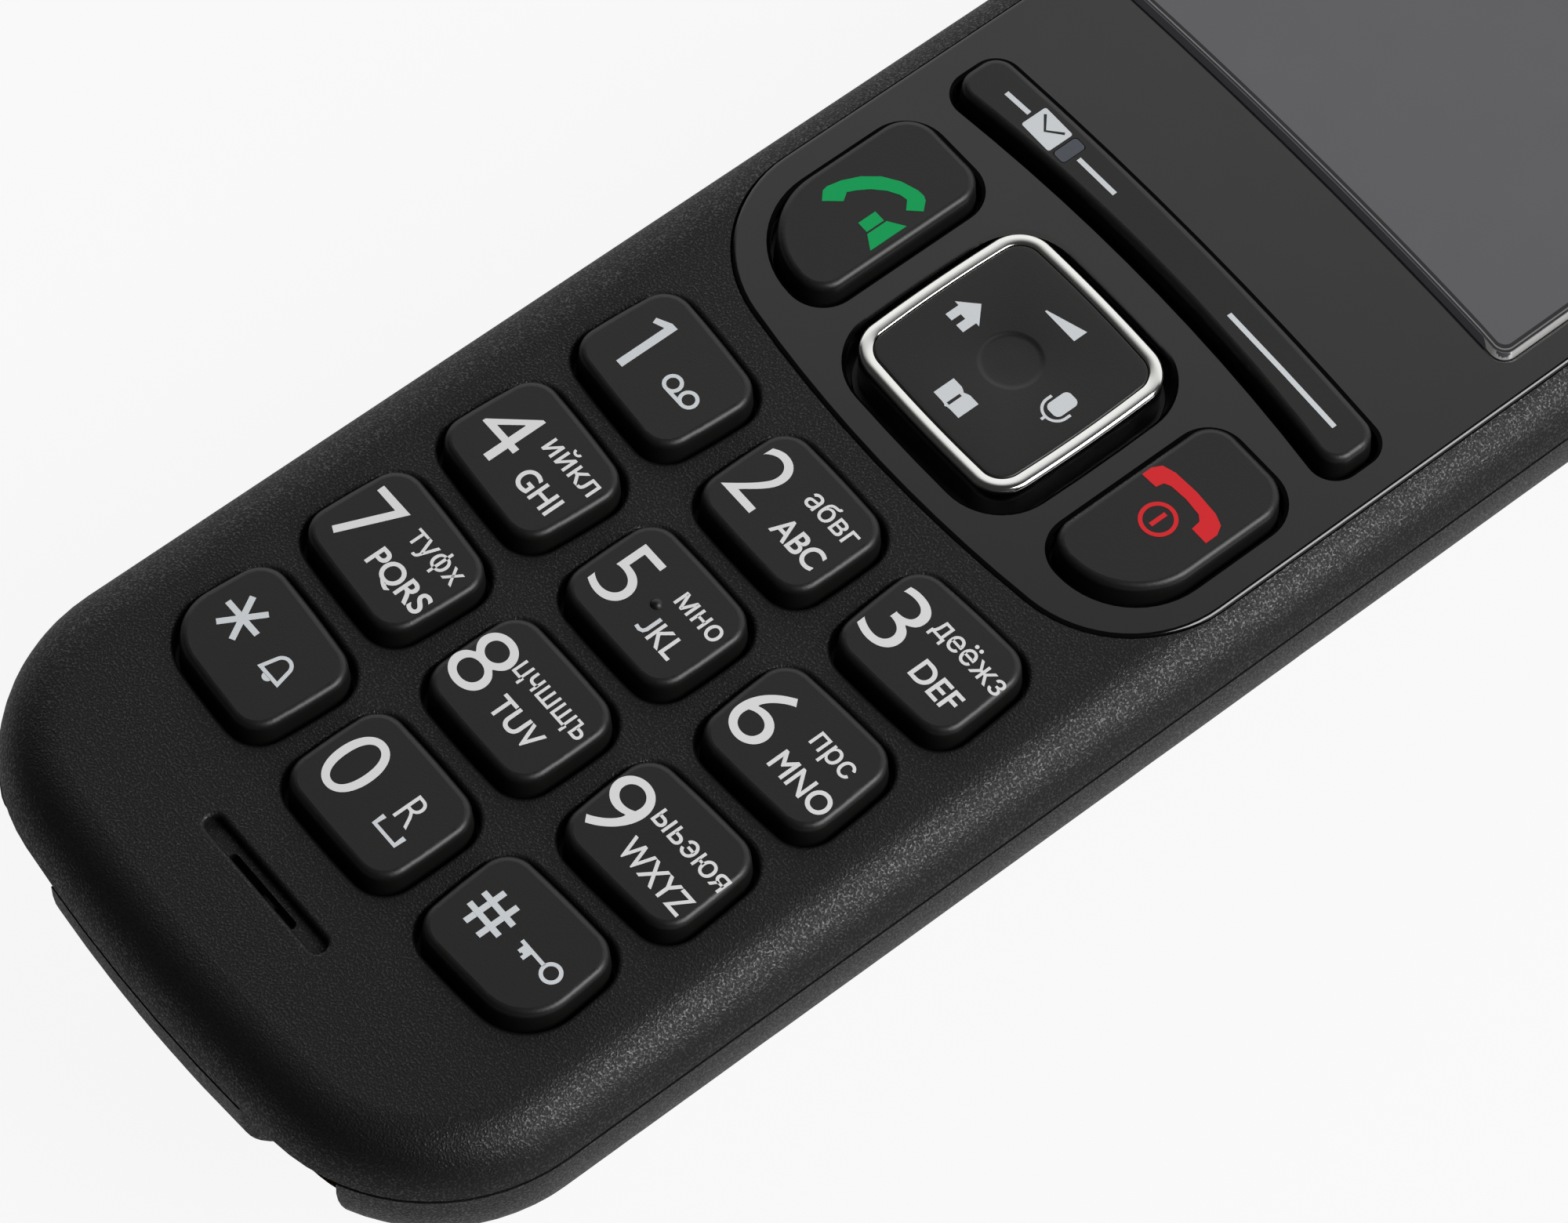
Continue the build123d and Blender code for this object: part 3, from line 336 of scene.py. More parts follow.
def finish(name):
    """A finish that has been made already."""
    if name not in bpy.data.materials:
        raise RuntimeError(f"the finish {name} has not been made")
    return bpy.data.materials[name]


def link(piece):
    """Shows a new object in the scene and returns it."""
    bpy.context.scene.collection.objects.link(piece)
    return piece


def evaluated_mesh(piece):
    """Plain mesh of an object with its modifiers applied; the object is removed."""
    bpy.context.view_layer.update()
    depsgraph = bpy.context.evaluated_depsgraph_get()
    mesh = bpy.data.meshes.new_from_object(piece.evaluated_get(depsgraph))
    bpy.data.objects.remove(piece)
    return mesh


def new_tree(name, inputs):
    """Geometry tree with named inputs; returns it with its input node."""
    tree = bpy.data.node_groups.new(name, "GeometryNodeTree")
    for label, kind in inputs:
        tree.interface.new_socket(label, in_out="INPUT", socket_type=kind)
    tree.interface.new_socket("Geometry", in_out="OUTPUT", socket_type="NodeSocketGeometry")
    return tree, add_node(tree, "NodeGroupInput")


def close_tree(tree, geometry, material):
    """Ends a tree in Realize Instances and Set Material."""
    real = add_node(tree, "GeometryNodeRealizeInstances", inputs={"Geometry": geometry})
    inked = add_node(
        tree, "GeometryNodeSetMaterial", inputs={"Geometry": real.outputs[0], "Material": material}
    )
    add_node(tree, "NodeGroupOutput", inputs={0: inked.outputs[0]})


def run_tree(tree, data, values):
    """Mesh that a geometry tree makes from a piece of data, with its inputs set by name."""
    piece = link(bpy.data.objects.new("tree_input", data))
    modifier = piece.modifiers.new(tree.name, "NODES")
    modifier.node_group = tree
    for socket in tree.interface.items_tree:
        if socket.in_out == "INPUT" and socket.name in values:
            modifier[socket.identifier] = values[socket.name]
    return evaluated_mesh(piece)


# Points of text of size 1 that are nearer than this become one
WELD = 1e-5


def lettering_tree():
    """Text as flat ink: outlines are moved outwards by the weight, filled and given a thickness."""
    name = "Printed lettering"
    if name in bpy.data.node_groups:
        return bpy.data.node_groups[name]
    tree, given = new_tree(
        name,
        (
            ("Text", "NodeSocketString"),
            ("Weight", "NodeSocketFloat"),
            ("Thickness", "NodeSocketFloat"),
            ("Ink", "NodeSocketMaterial"),
        ),
    )
    text = add_node(
        tree,
        "GeometryNodeStringToCurves",
        {"align_y": "TOP_BASELINE"},
        {"String": given.outputs["Text"], "Size": 1.0},
    )
    outlines = add_node(tree, "GeometryNodeRealizeInstances", inputs={0: text.outputs[0]})
    points = add_node(tree, "GeometryNodeResampleCurve", {"mode": "EVALUATED"}, {0: outlines.outputs[0]})
    tangent = add_node(tree, "GeometryNodeInputTangent")
    outwards = add_node(
        tree,
        "ShaderNodeVectorMath",
        {"operation": "CROSS_PRODUCT"},
        {0: tangent.outputs[0], 1: (0, 0, 1)},
    )
    step = add_node(
        tree,
        "ShaderNodeVectorMath",
        {"operation": "SCALE"},
        {0: outwards.outputs[0], "Scale": given.outputs["Weight"]},
    )
    moved = add_node(
        tree, "GeometryNodeSetPosition", inputs={"Geometry": points.outputs[0], "Offset": step.outputs[0]}
    )
    filled = add_node(tree, "GeometryNodeFillCurve", inputs={0: moved.outputs[0]})
    raised = add_node(
        tree,
        "GeometryNodeExtrudeMesh",
        inputs={
            "Mesh": filled.outputs[0],
            "Offset": (0.0, 0.0, 1.0),
            "Offset Scale": given.outputs["Thickness"],
            "Individual": False,
        },
    )
    under = add_node(tree, "GeometryNodeFlipFaces", inputs={0: filled.outputs[0]})
    both = add_node(tree, "GeometryNodeJoinGeometry", inputs={0: raised.outputs[0]})
    tree.links.new(under.outputs[0], both.inputs[0])
    whole = add_node(
        tree, "GeometryNodeMergeByDistance", inputs={"Geometry": both.outputs[0], "Distance": WELD}
    )
    close_tree(tree, whole.outputs[0], given.outputs["Ink"])
    return tree


def stroke_tree():
    """Lines as flat ink: a rectangle of the stroke's width and thickness carried along each line."""
    name = "Printed strokes"
    if name in bpy.data.node_groups:
        return bpy.data.node_groups[name]
    tree, given = new_tree(
        name,
        (
            ("Lines", "NodeSocketGeometry"),
            ("Width", "NodeSocketFloat"),
            ("Thickness", "NodeSocketFloat"),
            ("Ink", "NodeSocketMaterial"),
        ),
    )
    level = add_node(tree, "GeometryNodeSetCurveNormal", {"mode": "Z_UP"}, {0: given.outputs["Lines"]})
    section = add_node(
        tree,
        "GeometryNodeCurvePrimitiveQuadrilateral",
        inputs={"Width": given.outputs["Width"], "Height": given.outputs["Thickness"]},
    )
    ribbon = add_node(
        tree,
        "GeometryNodeCurveToMesh",
        inputs={"Curve": level.outputs[0], "Profile Curve": section.outputs[0], "Fill Caps": True},
    )
    flat = add_node(
        tree, "GeometryNodeSetShadeSmooth", inputs={0: ribbon.outputs[0], "Shade Smooth": False}
    )
    close_tree(tree, flat.outputs[0], given.outputs["Ink"])
    return tree


def moved_mesh(mesh, matrix):
    """Applies a matrix to a mesh and returns it."""
    mesh.transform(matrix)
    return mesh


# Height of a capital and of a small letter in text of size 1
CAPITAL_SHARE = 0.682
SMALL_SHARE = 0.542


def lettering(text, left, right, base, height, share, weight, ink, z):
    """Text between two X places on a base line, in millimetres, with letters of a height in metres."""
    thickness = settings("handset_printing").ink
    scale = height / share
    mesh = run_tree(
        lettering_tree(),
        bpy.data.meshes.new("no_lines"),
        {"Text": text, "Weight": weight / scale, "Thickness": thickness / scale, "Ink": finish(ink)},
    )
    low = min(v.co.x for v in mesh.vertices)
    high = max(v.co.x for v in mesh.vertices)
    stretch = (right - left) * MM / (high - low)
    place = Matrix.Translation((left * MM, base * MM, z)) @ Matrix.Diagonal((stretch, scale, scale, 1))
    return moved_mesh(mesh, place @ Matrix.Translation((-low, 0, 0)))


# Widths of printed lines, in millimetres
FINE_LINE = 0.27
SPACE_LINE = 0.34
HASH_LINE = 0.42
STAR_LINE = 0.43
RING_LINE = 0.29
POWER_LINE = 0.32
STAND_LINE = 0.2
FOLD_LINE = 0.2
DASH_LINE = 0.37

# Share by which each next line is thicker, and how far a line stands over a print that it crosses
STROKE_STEP = 0.15
OVERLAP = 0.01 * MM


def strokes(lines, width, ink, z, lift=0.0, closed=False):
    """Printed lines of one width, given as lists of points in millimetres."""
    meshes = []
    for order, line in enumerate(lines):
        curve = bpy.data.curves.new("line", "CURVE")
        curve.dimensions = "3D"
        spline = curve.splines.new("POLY")
        spline.points.add(len(line) - 1)
        for point, (x, y) in zip(spline.points, line):
            point.co = (x * MM, y * MM, 0, 1)
        spline.use_cyclic_u = closed
        # Lines that cross are made a little thicker in turn, so that no two tops coincide
        thickness = settings("handset_printing").ink * (1 + STROKE_STEP * order) + lift
        mesh = run_tree(
            stroke_tree(), curve, {"Width": width * MM, "Thickness": thickness, "Ink": finish(ink)}
        )
        meshes.append(moved_mesh(mesh, Matrix.Translation((0, 0, z + thickness / 2))))
    return meshes


def plate(outline, ink, z):
    """Printed shape with an outline of points in millimetres, counter-clockwise or clockwise."""
    shape = bmesh.new()
    face = shape.faces.new([shape.verts.new((x * MM, y * MM, z)) for x, y in outline])
    face.normal_update()
    if face.normal.z < 0:
        face.normal_flip()
    side = bmesh.ops.extrude_face_region(shape, geom=[face], use_keep_orig=True)
    for vertex in (item for item in side["geom"] if isinstance(item, bmesh.types.BMVert)):
        vertex.co.z += settings("handset_printing").ink
    bmesh.ops.recalc_face_normals(shape, faces=shape.faces)
    mesh = bpy.data.meshes.new("plate")
    shape.to_mesh(mesh)
    shape.free()
    mesh.materials.append(finish(ink))
    return mesh


def band(outer, inner, ink, z_outer, z_inner=None):
    """Printed band between two outlines of as many points each, which may lie at two heights."""
    thickness = settings("handset_printing").ink
    loops = ((outer, z_outer), (inner, z_outer if z_inner is None else z_inner))
    shape = bmesh.new()
    under, over = (
        [[shape.verts.new((x * MM, y * MM, z + lift)) for x, y in loop] for loop, z in loops]
        for lift in (0, thickness)
    )
    count = len(outer)
    rows = (over[0], over[1], under[1], under[0], over[0])
    for i in range(count):
        j = (i + 1) % count
        for first, second in zip(rows, rows[1:]):
            shape.faces.new((first[i], first[j], second[j], second[i]))
    bmesh.ops.recalc_face_normals(shape, faces=shape.faces)
    mesh = bpy.data.meshes.new("band")
    shape.to_mesh(mesh)
    shape.free()
    mesh.materials.append(finish(ink))
    return mesh


def joined(name, meshes, body):
    """One named object from several meshes, riding on a body."""
    whole = bmesh.new()
    materials = []
    for mesh in meshes:
        material = mesh.materials[0]
        if material not in materials:
            materials.append(material)
        before = len(whole.faces)
        whole.from_mesh(mesh)
        whole.faces.ensure_lookup_table()
        for face in whole.faces[before:]:
            face.material_index = materials.index(material)
    result = bpy.data.meshes.new(name)
    whole.to_mesh(result)
    whole.free()
    for material in materials:
        result.materials.append(material)
    piece = link(bpy.data.objects.new(name, result))
    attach(piece, body)
    return piece


def arc(cx, cy, radius, start, end, steps=16):
    """Points of an arc, angles in degrees."""
    angles = [math.radians(start + (end - start) * i / steps) for i in range(steps + 1)]
    return [(cx + radius * math.cos(a), cy + radius * math.sin(a)) for a in angles]


# Digits: key, text, left, right, top and bottom
DIGITS = (
    ("key_2", "2", -4.46, -1.56, -23.73, -28.38),
    ("key_3", "3", 8.88, 11.77, -23.56, -28.29),
    ("key_4", "4", -17.56, -14.38, -34.38, -39.0),
    ("key_5", "5", -4.23, -1.5, -34.96, -39.65),
    ("key_6", "6", 8.88, 11.96, -34.48, -39.25),
    ("key_7", "7", -17.58, -14.81, -45.38, -50.02),
    ("key_8", "8", -5.04, -1.96, -45.9, -50.63),
    ("key_9", "9", 8.35, 11.5, -45.54, -50.35),
    ("key_0", "0", -4.15, -1.04, -56.65, -61.38),
)

# Small Cyrillic letters: key, text, left, right and base line
CYRILLIC = (
    ("key_2", "абвг", -0.12, 4.31, -25.13),
    ("key_3", "деёжз", 12.15, 18.46, -24.73),
    ("key_4", "ийкл", -13.62, -8.85, -35.77),
    ("key_5", "мно", 0.54, 4.46, -36.23),
    ("key_6", "прс", 13.65, 17.19, -35.88),
    ("key_7", "туфх", -13.65, -9.04, -46.62),
    ("key_8", "цчшщъ", -1.88, 4.65, -47.27),
    ("key_9", "ыьэюя", 11.77, 18.42, -47.0),
)

# Latin capitals, as on any telephone
LATIN = (
    ("key_2", "ABC", 0.08, 4.15, -28.12),
    ("key_3", "DEF", 13.69, 17.46, -27.87),
    ("key_4", "GHI", -12.92, -9.46, -38.73),
    ("key_5", "KL", 1.45, 3.65, -39.23),
    ("key_6", "MNO", 13.23, 18.23, -38.9),
    ("key_7", "PQRS", -14.0, -8.81, -49.69),
    ("key_8", "TUV", -0.77, 3.31, -50.15),
    ("key_9", "WXYZ", 12.12, 18.12, -50.04),
)

# The J, which the type face hangs below the line, so it is drawn as a stem with a foot
J_STROKE = [(1.08, -37.62), (1.08, -38.8), (0.98, -39.05), (0.74, -39.15), (0.38, -39.1)]

# Shank and bit of the lock sign on the hash key
KEY_BIT = (
    (13.5, -58.29), (15.72, -58.29), (15.72, -58.56), (14.6, -58.56), (14.6, -59.2), (14.3, -59.2),
    (14.3, -58.95), (14.12, -58.95), (14.12, -59.05), (13.84, -59.05), (13.84, -58.56), (13.5, -58.56),
)  # fmt: skip


def key_letters(prints, ink):
    """Adds the digits and the two rows of letters to the printing of the number keys."""
    sizes = settings("handset_printing")
    for key, text, left, right, top, bottom in DIGITS:
        height = (top - bottom) * MM
        style = (height, CAPITAL_SHARE, sizes.digit_weight, ink, KEY_TOP)
        mesh = lettering(text, left, right, bottom, *style)
        low = min(v.co.y for v in mesh.vertices)
        high = max(v.co.y for v in mesh.vertices)
        fit = Matrix.Diagonal((1, height / (high - low), 1, 1))
        place = Matrix.Translation((0, bottom * MM, 0)) @ fit @ Matrix.Translation((0, -low, 0))
        prints[key].append(moved_mesh(mesh, place))
    # Cyrillic outlines are wound the other way in this type face, so their weight is turned round
    small = (sizes.small, SMALL_SHARE, -sizes.cyrillic_weight, ink, KEY_TOP)
    capital = (sizes.capital, CAPITAL_SHARE, sizes.latin_weight, ink, KEY_TOP)
    for rows, style in ((CYRILLIC, small), (LATIN, capital)):
        for key, text, left, right, base in rows:
            prints[key].append(lettering(text, left, right, base, *style))
    prints["key_5"] += strokes([J_STROKE], FINE_LINE, ink, KEY_TOP)


def key_signs(prints, ink):
    """Adds the 1, the star, the hash and the small signs to the printing of the number keys."""
    # The 1, with a flag
    one = [(-15.8, -27.92), (-15.2, -27.92), (-15.2, -23.31), (-15.72, -23.31)]
    one += [(-16.75, -23.85), (-16.6, -24.26), (-15.8, -23.93)]
    prints["key_1"].append(plate(one, ink, KEY_TOP))
    # Voice mail: two reels and the tape between them
    reels = [arc(x, -26.12, 0.58, 0, 360, 28)[:-1] for x in (-12.16, -10.56)]
    prints["key_1"] += strokes(reels, FINE_LINE, ink, KEY_TOP, closed=True)
    tape = [(-12.16, -26.7), (-10.56, -26.7)]
    prints["key_1"] += strokes([tape], FINE_LINE, ink, KEY_TOP, lift=OVERLAP)
    star = [[(-16.92, -58.27), (-13.84, -58.27)]]
    star += [[(-16.2, -59.72), (-14.55, -56.82)], [(-16.2, -56.82), (-14.55, -59.72)]]
    prints["key_star"] += strokes(star, STAR_LINE, ink, KEY_TOP)
    # Bell, with its clapper
    bell = [(-12.08, -59.58), *arc(-11.04, -58.43, 0.75, 167, 13), (-10.0, -59.58)]
    hollow = [(-11.74, -59.31), *arc(-11.04, -58.43, 0.49, 167, 13), (-10.34, -59.31)]
    prints["key_star"].append(band(bell, hollow, ink, KEY_TOP))
    prints["key_star"].append(plate(arc(-11.04, -59.56, 0.36, 180, 360), ink, KEY_TOP))
    # Recall, and the sign for a space
    prints["key_0"].append(
        lettering("R", 1.62, 3.02, -59.38, 2.23 * MM, CAPITAL_SHARE, -0.03 * MM, ink, KEY_TOP)
    )
    space = [[(1.4, -59.78), (1.4, -60.58), (3.42, -60.58), (3.42, -59.78)]]
    prints["key_0"] += strokes(space, SPACE_LINE, ink, KEY_TOP)
    hash_lines = [[(x, -57.23), (x, -60.35)] for x in (10.27, 11.54)]
    hash_lines += [[(9.42, y), (12.38, y)] for y in (-58.23, -59.35)]
    prints["key_hash"] += strokes(hash_lines, HASH_LINE, ink, KEY_TOP)
    # Key of the keypad's lock: its ring and its bit
    ring = arc(16.38, -58.42, 0.63, 0, 360, 28)[:-1]
    prints["key_hash"] += strokes([ring], FINE_LINE, ink, KEY_TOP, closed=True)
    prints["key_hash"].append(plate(KEY_BIT, ink, KEY_TOP))


def key_prints():
    """Meshes of each number key's printing, by key."""
    prints = {f"key_{name}": [] for name in (*range(10), "star", "hash")}
    key_letters(prints, "white_screen_ink")
    key_signs(prints, "white_screen_ink")
    return prints


# Signs on the call and end keys: a generic receiver, a loudspeaker, and an on-off ring
RECEIVER_UP = (
    (-17.12, -9.65), (-17.73, -9.08), (-17.81, -8.65), (-17.58, -7.62), (-17.04, -6.42),
    (-16.19, -5.35), (-15.08, -4.58), (-13.85, -4.15), (-13.27, -4.12), (-12.92, -4.27),
    (-12.35, -4.92), (-13.12, -5.77), (-13.73, -5.19), (-14.31, -5.31), (-15.08, -5.77),
    (-15.85, -6.54), (-16.35, -7.31), (-16.65, -7.92), (-16.23, -8.54),
)  # fmt: skip
RECEIVER_DOWN = (
    (11.81, -6.77), (11.81, -5.96), (12.15, -5.31), (13.08, -5.0), (15.0, -4.88),
    (17.0, -5.0), (17.85, -5.31), (18.23, -5.96), (18.23, -6.92), (16.88, -6.92),
    (16.77, -6.19), (16.35, -5.88), (15.0, -5.77), (13.65, -5.88), (13.19, -6.12), (13.08, -6.69),
)  # fmt: skip
SPEAKER_BOX = ((-14.31, -7.42), (-13.42, -7.42), (-13.42, -8.88), (-14.31, -8.88))
SPEAKER_HORN = ((-13.27, -7.31), (-12.15, -6.54), (-12.15, -9.62), (-13.27, -8.96))

# Signs on the navigation pad, from its middle: house, volume wedge, phone book, microphone
HOUSE = (
    (-4.5, 1.26), (-3.27, 0.03), (-3.58, 0.03), (-3.58, -1.08), (-4.27, -1.08), (-4.27, -0.31),
    (-4.73, -0.31), (-4.73, -1.08), (-5.35, -1.08), (-5.35, 0.03), (-5.73, 0.03),
)  # fmt: skip
VOLUME = ((-1.5, 4.28), (-1.5, 4.15), (1.42, 4.15), (1.42, 5.26))
BOOK = (
    ((-1.25, -3.81), (-0.42, -3.81), (-0.12, -3.93), (-0.12, -5.54), (-0.42, -5.5), (-1.25, -5.5)),
    ((1.25, -3.81), (0.42, -3.81), (0.12, -3.93), (0.12, -5.54), (0.42, -5.5), (1.25, -5.5)),
    ((-0.12, -3.93), (0.0, -4.0), (0.12, -3.93), (0.12, -4.26), (-0.12, -4.26)),
    ((-0.12, -5.35), (0.12, -5.35), (0.12, -5.54), (0.0, -5.63), (-0.12, -5.54)),
)
MIC_MIDDLE = (4.63, 0.42)


def side_key_prints():
    """Meshes of the signs on the call key and the end key."""
    signs = (RECEIVER_UP, SPEAKER_BOX, SPEAKER_HORN)
    call = [plate(shape, "green_screen_ink", KEY_TOP) for shape in signs]
    end = [plate(RECEIVER_DOWN, "red_screen_ink", KEY_TOP)]
    ring = arc(15.0, -8.15, 1.16, 0, 360, 36)[:-1]
    end += strokes([ring], RING_LINE, "red_screen_ink", KEY_TOP, closed=True)
    end += strokes([[(15.0, -7.5), (15.0, -8.81)]], POWER_LINE, "red_screen_ink", KEY_TOP)
    return call, end


def rounded_box(cx, cy, half_width, half_height, radius):
    """Points of a box with rounded corners."""
    corners = ((1, 1, 0), (-1, 1, 90), (-1, -1, 180), (1, -1, 270))
    points = []
    for side, end, start in corners:
        x = cx + side * (half_width - radius)
        y = cy + end * (half_height - radius)
        points += arc(x, y, radius, start, start + 90, 8)
    return points


def pad_prints():
    """Meshes of the four signs on the navigation pad."""
    ink = "white_screen_ink"
    x, y = MIC_MIDDLE
    cradle = [(x - 0.94, y - 0.1), *arc(x, y - 0.5, 0.94, 180, 360), (x + 0.94, y - 0.1)]
    stem = [(x, y - 1.5), (x, y - 1.8)]
    meshes = [plate(shape, ink, PAD_TOP) for shape in (HOUSE, VOLUME, *BOOK)]
    meshes.append(plate(rounded_box(x, y, 0.63, 0.97, 0.42), ink, PAD_TOP))
    meshes += strokes([cradle, stem], STAND_LINE, ink, PAD_TOP)
    middle = Matrix.Translation((PAD_MIDDLE.x, PAD_MIDDLE.y, 0))
    return [moved_mesh(mesh, middle) for mesh in meshes]


def bar_prints():
    """Meshes of the dashes and the envelope on the softkey bar."""
    ink = "white_screen_ink"
    dashes = [[(-16.19, 5.42), (-14.0, 5.56)], [(-9.19, 5.77), (-5.62, 5.86)]]
    dashes.append([(6.12, 5.62), (11.5, 5.5), (16.81, 5.31)])
    meshes = strokes(dashes, DASH_LINE, ink, KEY_TOP)
    envelope = arc(-13.5, 6.55, 0.18, 90, 180, 4) + arc(-13.5, 4.77, 0.18, 180, 270, 4)
    envelope += arc(-11.07, 4.77, 0.18, 270, 360, 4) + arc(-11.07, 6.55, 0.18, 0, 90, 4)
    meshes.append(plate(envelope, ink, KEY_TOP))
    fold = [(-13.27, 6.35), (-12.27, 5.46), (-11.27, 6.35)]
    meshes += strokes([fold], FOLD_LINE, "satin_lacquered_keys", KEY_TOP, lift=OVERLAP)
    return meshes


class HANDSET_OT_finishes(Operator):
    """Make the finishes and put them on the solids"""

    bl_idname = "handset.finishes"
    bl_label = "Finish the solids"

    def execute(self, context):
        textured_abs()
        lacquered_key()
        plain_materials()
        for name, nodes in FINISH_OF_NODE.items():
            for node in nodes:
                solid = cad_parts[node]
                for place in solid.material_slots:
                    place.material = finish(name)
        return {"FINISHED"}


class HANDSET_OT_number_prints(Operator):
    """Print the numbers, letters and signs on the number keys"""

    bl_idname = "handset.number_prints"
    bl_label = "Print the number keys"

    def execute(self, context):
        for key, meshes in key_prints().items():
            joined(f"{key}_print", meshes, key)
        return {"FINISHED"}


class HANDSET_OT_side_prints(Operator):
    """Print the signs on the call key and the end key"""

    bl_idname = "handset.side_prints"
    bl_label = "Print the call and end keys"

    def execute(self, context):
        call, end = side_key_prints()
        joined("call_key_print", call, "call_key")
        joined("end_key_print", end, "end_key")
        return {"FINISHED"}


class HANDSET_OT_centre_prints(Operator):
    """Print the signs on the navigation pad and the softkey bar"""

    bl_idname = "handset.centre_prints"
    bl_label = "Print the pad and the bar"

    def execute(self, context):
        joined("nav_key_print", pad_prints(), "nav_key")
        joined("softkey_bar_print", bar_prints(), "softkey_bar")
        return {"FINISHED"}


# Display window, in millimetres: the bow of its ends and its corner radius
WINDOW_BOW = 0.45
WINDOW_CORNER = 1.1

# Where each trim starts and ends, in millimetres in from the window's side
# The outer trim and the thin line inside the dark trim are painted highlight on the window's cut edge
PAINTED_HIGHLIGHT_TRIM = (0.02, 0.31)
DARK_TRIM = (0.35, 0.84)
PAINTED_HIGHLIGHT_LINE_TRIM = (0.48, 0.58)

# Heights under the face of the two sides of the outer trim, which is painted highlight
PAINTED_HIGHLIGHT_DEPTHS = (0.33 * MM, 0.03 * MM)


def window_loop(inset):
    """Outline of the display window in millimetres, moved in by inset, with its bowed ends."""
    low, high = (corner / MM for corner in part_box("display_window"))
    half, bow, radius = high.x - inset, WINDOW_BOW, WINDOW_CORNER - inset / 2
    bottom, top = low.y + inset, high.y - inset
    points = arc(half - radius, bottom + radius, radius, 270, 360, 8)
    points += arc(half - radius, top - bow - radius, radius, 0, 90, 8)
    across = [half - radius - (2 * half - 2 * radius) * i / 24 for i in range(1, 24)]
    points += [(x, top - bow * (x / half) ** 2) for x in across]
    points += arc(radius - half, top - bow - radius, radius, 90, 180, 8)
    points += arc(radius - half, bottom + radius, radius, 180, 270, 8)
    points += [(-x, bottom + bow * (1 - (x / half) ** 2)) for x in across]
    return points


# Points along a side and round a corner of the navigation pad
SIDE_STEPS = 12
CORNER_STEPS = 14


def pad_loop(grow, z):
    """Outline of the navigation pad grown outwards, at a height: a square with bowed sides."""
    pad = settings("handset_pad")
    half = pad.half_width + grow
    radius = pad.corner + grow
    points = []
    for turn in range(4):
        quarter = [(half, (radius - half) * (1 - 2 * i / SIDE_STEPS)) for i in range(SIDE_STEPS)]
        bowed = [(x + pad.bow * (1 - (y / half) ** 2), y) for x, y in quarter]
        rest = pad.bow * (1 - ((half - radius) / half) ** 2)
        for x, y in arc(half - radius, half - radius, radius, 0, 90, CORNER_STEPS)[:-1]:
            share = math.cos(math.atan2(y - half + radius, x - half + radius))
            bowed.append((x + rest * share, y + rest * (1 - share)))
        angle = math.radians(90 * turn)
        points += [
            (x * math.cos(angle) - y * math.sin(angle), x * math.sin(angle) + y * math.cos(angle))
            for x, y in bowed
        ]
    return [(PAD_MIDDLE.x + x, PAD_MIDDLE.y + y, z) for x, y in points]


def loops_mesh(loops, closed, material):
    """Smooth mesh through loops of as many points each: a closed tube, or a solid with two flat ends."""
    shape = bmesh.new()
    rows = [[shape.verts.new(point) for point in loop] for loop in loops]
    pairs = list(zip(rows, rows[1:]))
    if closed:
        pairs.append((rows[-1], rows[0]))
    else:
        shape.faces.new(rows[0])
        shape.faces.new(rows[-1])
    for first, second in pairs:
        for i in range(len(first)):
            j = (i + 1) % len(first)
            shape.faces.new((first[i], first[j], second[j], second[i]))
    bmesh.ops.recalc_face_normals(shape, faces=shape.faces)
    for face in shape.faces:
        face.smooth = True
    mesh = bpy.data.meshes.new("loops")
    shape.to_mesh(mesh)
    shape.free()
    mesh.materials.append(finish(material))
    return mesh


def fillet_steps(grow, z, radius, start, end, steps=8):
    """Growth and height along a rounded edge whose centre is given, angles from outwards to up."""
    return [(grow + x, z + y) for x, y in arc(0, 0, radius, start, end, steps)]


# Chromed ring: radius of its inner edge, its gap to the cap, and how much lower that edge is
RING_LIP = 0.12 * MM
RING_GAP = 0.03 * MM
RING_STEP = 0.01 * MM


class HANDSET_OT_pad_ring(Operator):
    """Make the chromed ring round the navigation pad, with a broad rounded outer edge"""

    bl_idname = "handset.pad_ring"
    bl_label = "Make the pad's ring"

    def execute(self, context):
        pad = settings("handset_pad")
        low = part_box("nav_ring")[0].z
        edge = pad.ring_edge
        section = [(pad.ring_band, low)]
        section += fillet_steps(pad.ring_band - edge, KEY_TOP - edge, edge, 0, 80)
        section += [(pad.ring_band / 2, KEY_TOP)]
        section += fillet_steps(RING_GAP + RING_LIP, KEY_TOP - RING_LIP - RING_STEP, RING_LIP, 100, 180)
        section += [(RING_GAP, low)]
        mesh = loops_mesh([pad_loop(grow, z) for grow, z in section], True, "bright_chrome_plating")
        ring = joined("nav_ring_plated", [mesh], "nav_key")
        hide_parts("nav_ring")
        return {"FINISHED"}


# Cap: radius of its edge, and how far its side reaches below the top of the solid cap
CAP_EDGE = 0.15 * MM
CAP_DEPTH = 0.5 * MM

# Dish in the pad's middle: radius and depth of each step, in millimetres
DISH = ((2.3, 0), (2.2, 0.01), (2.08, 0.05), (1.95, 0.09), (1.8, 0.1), (0.9, 0.11))


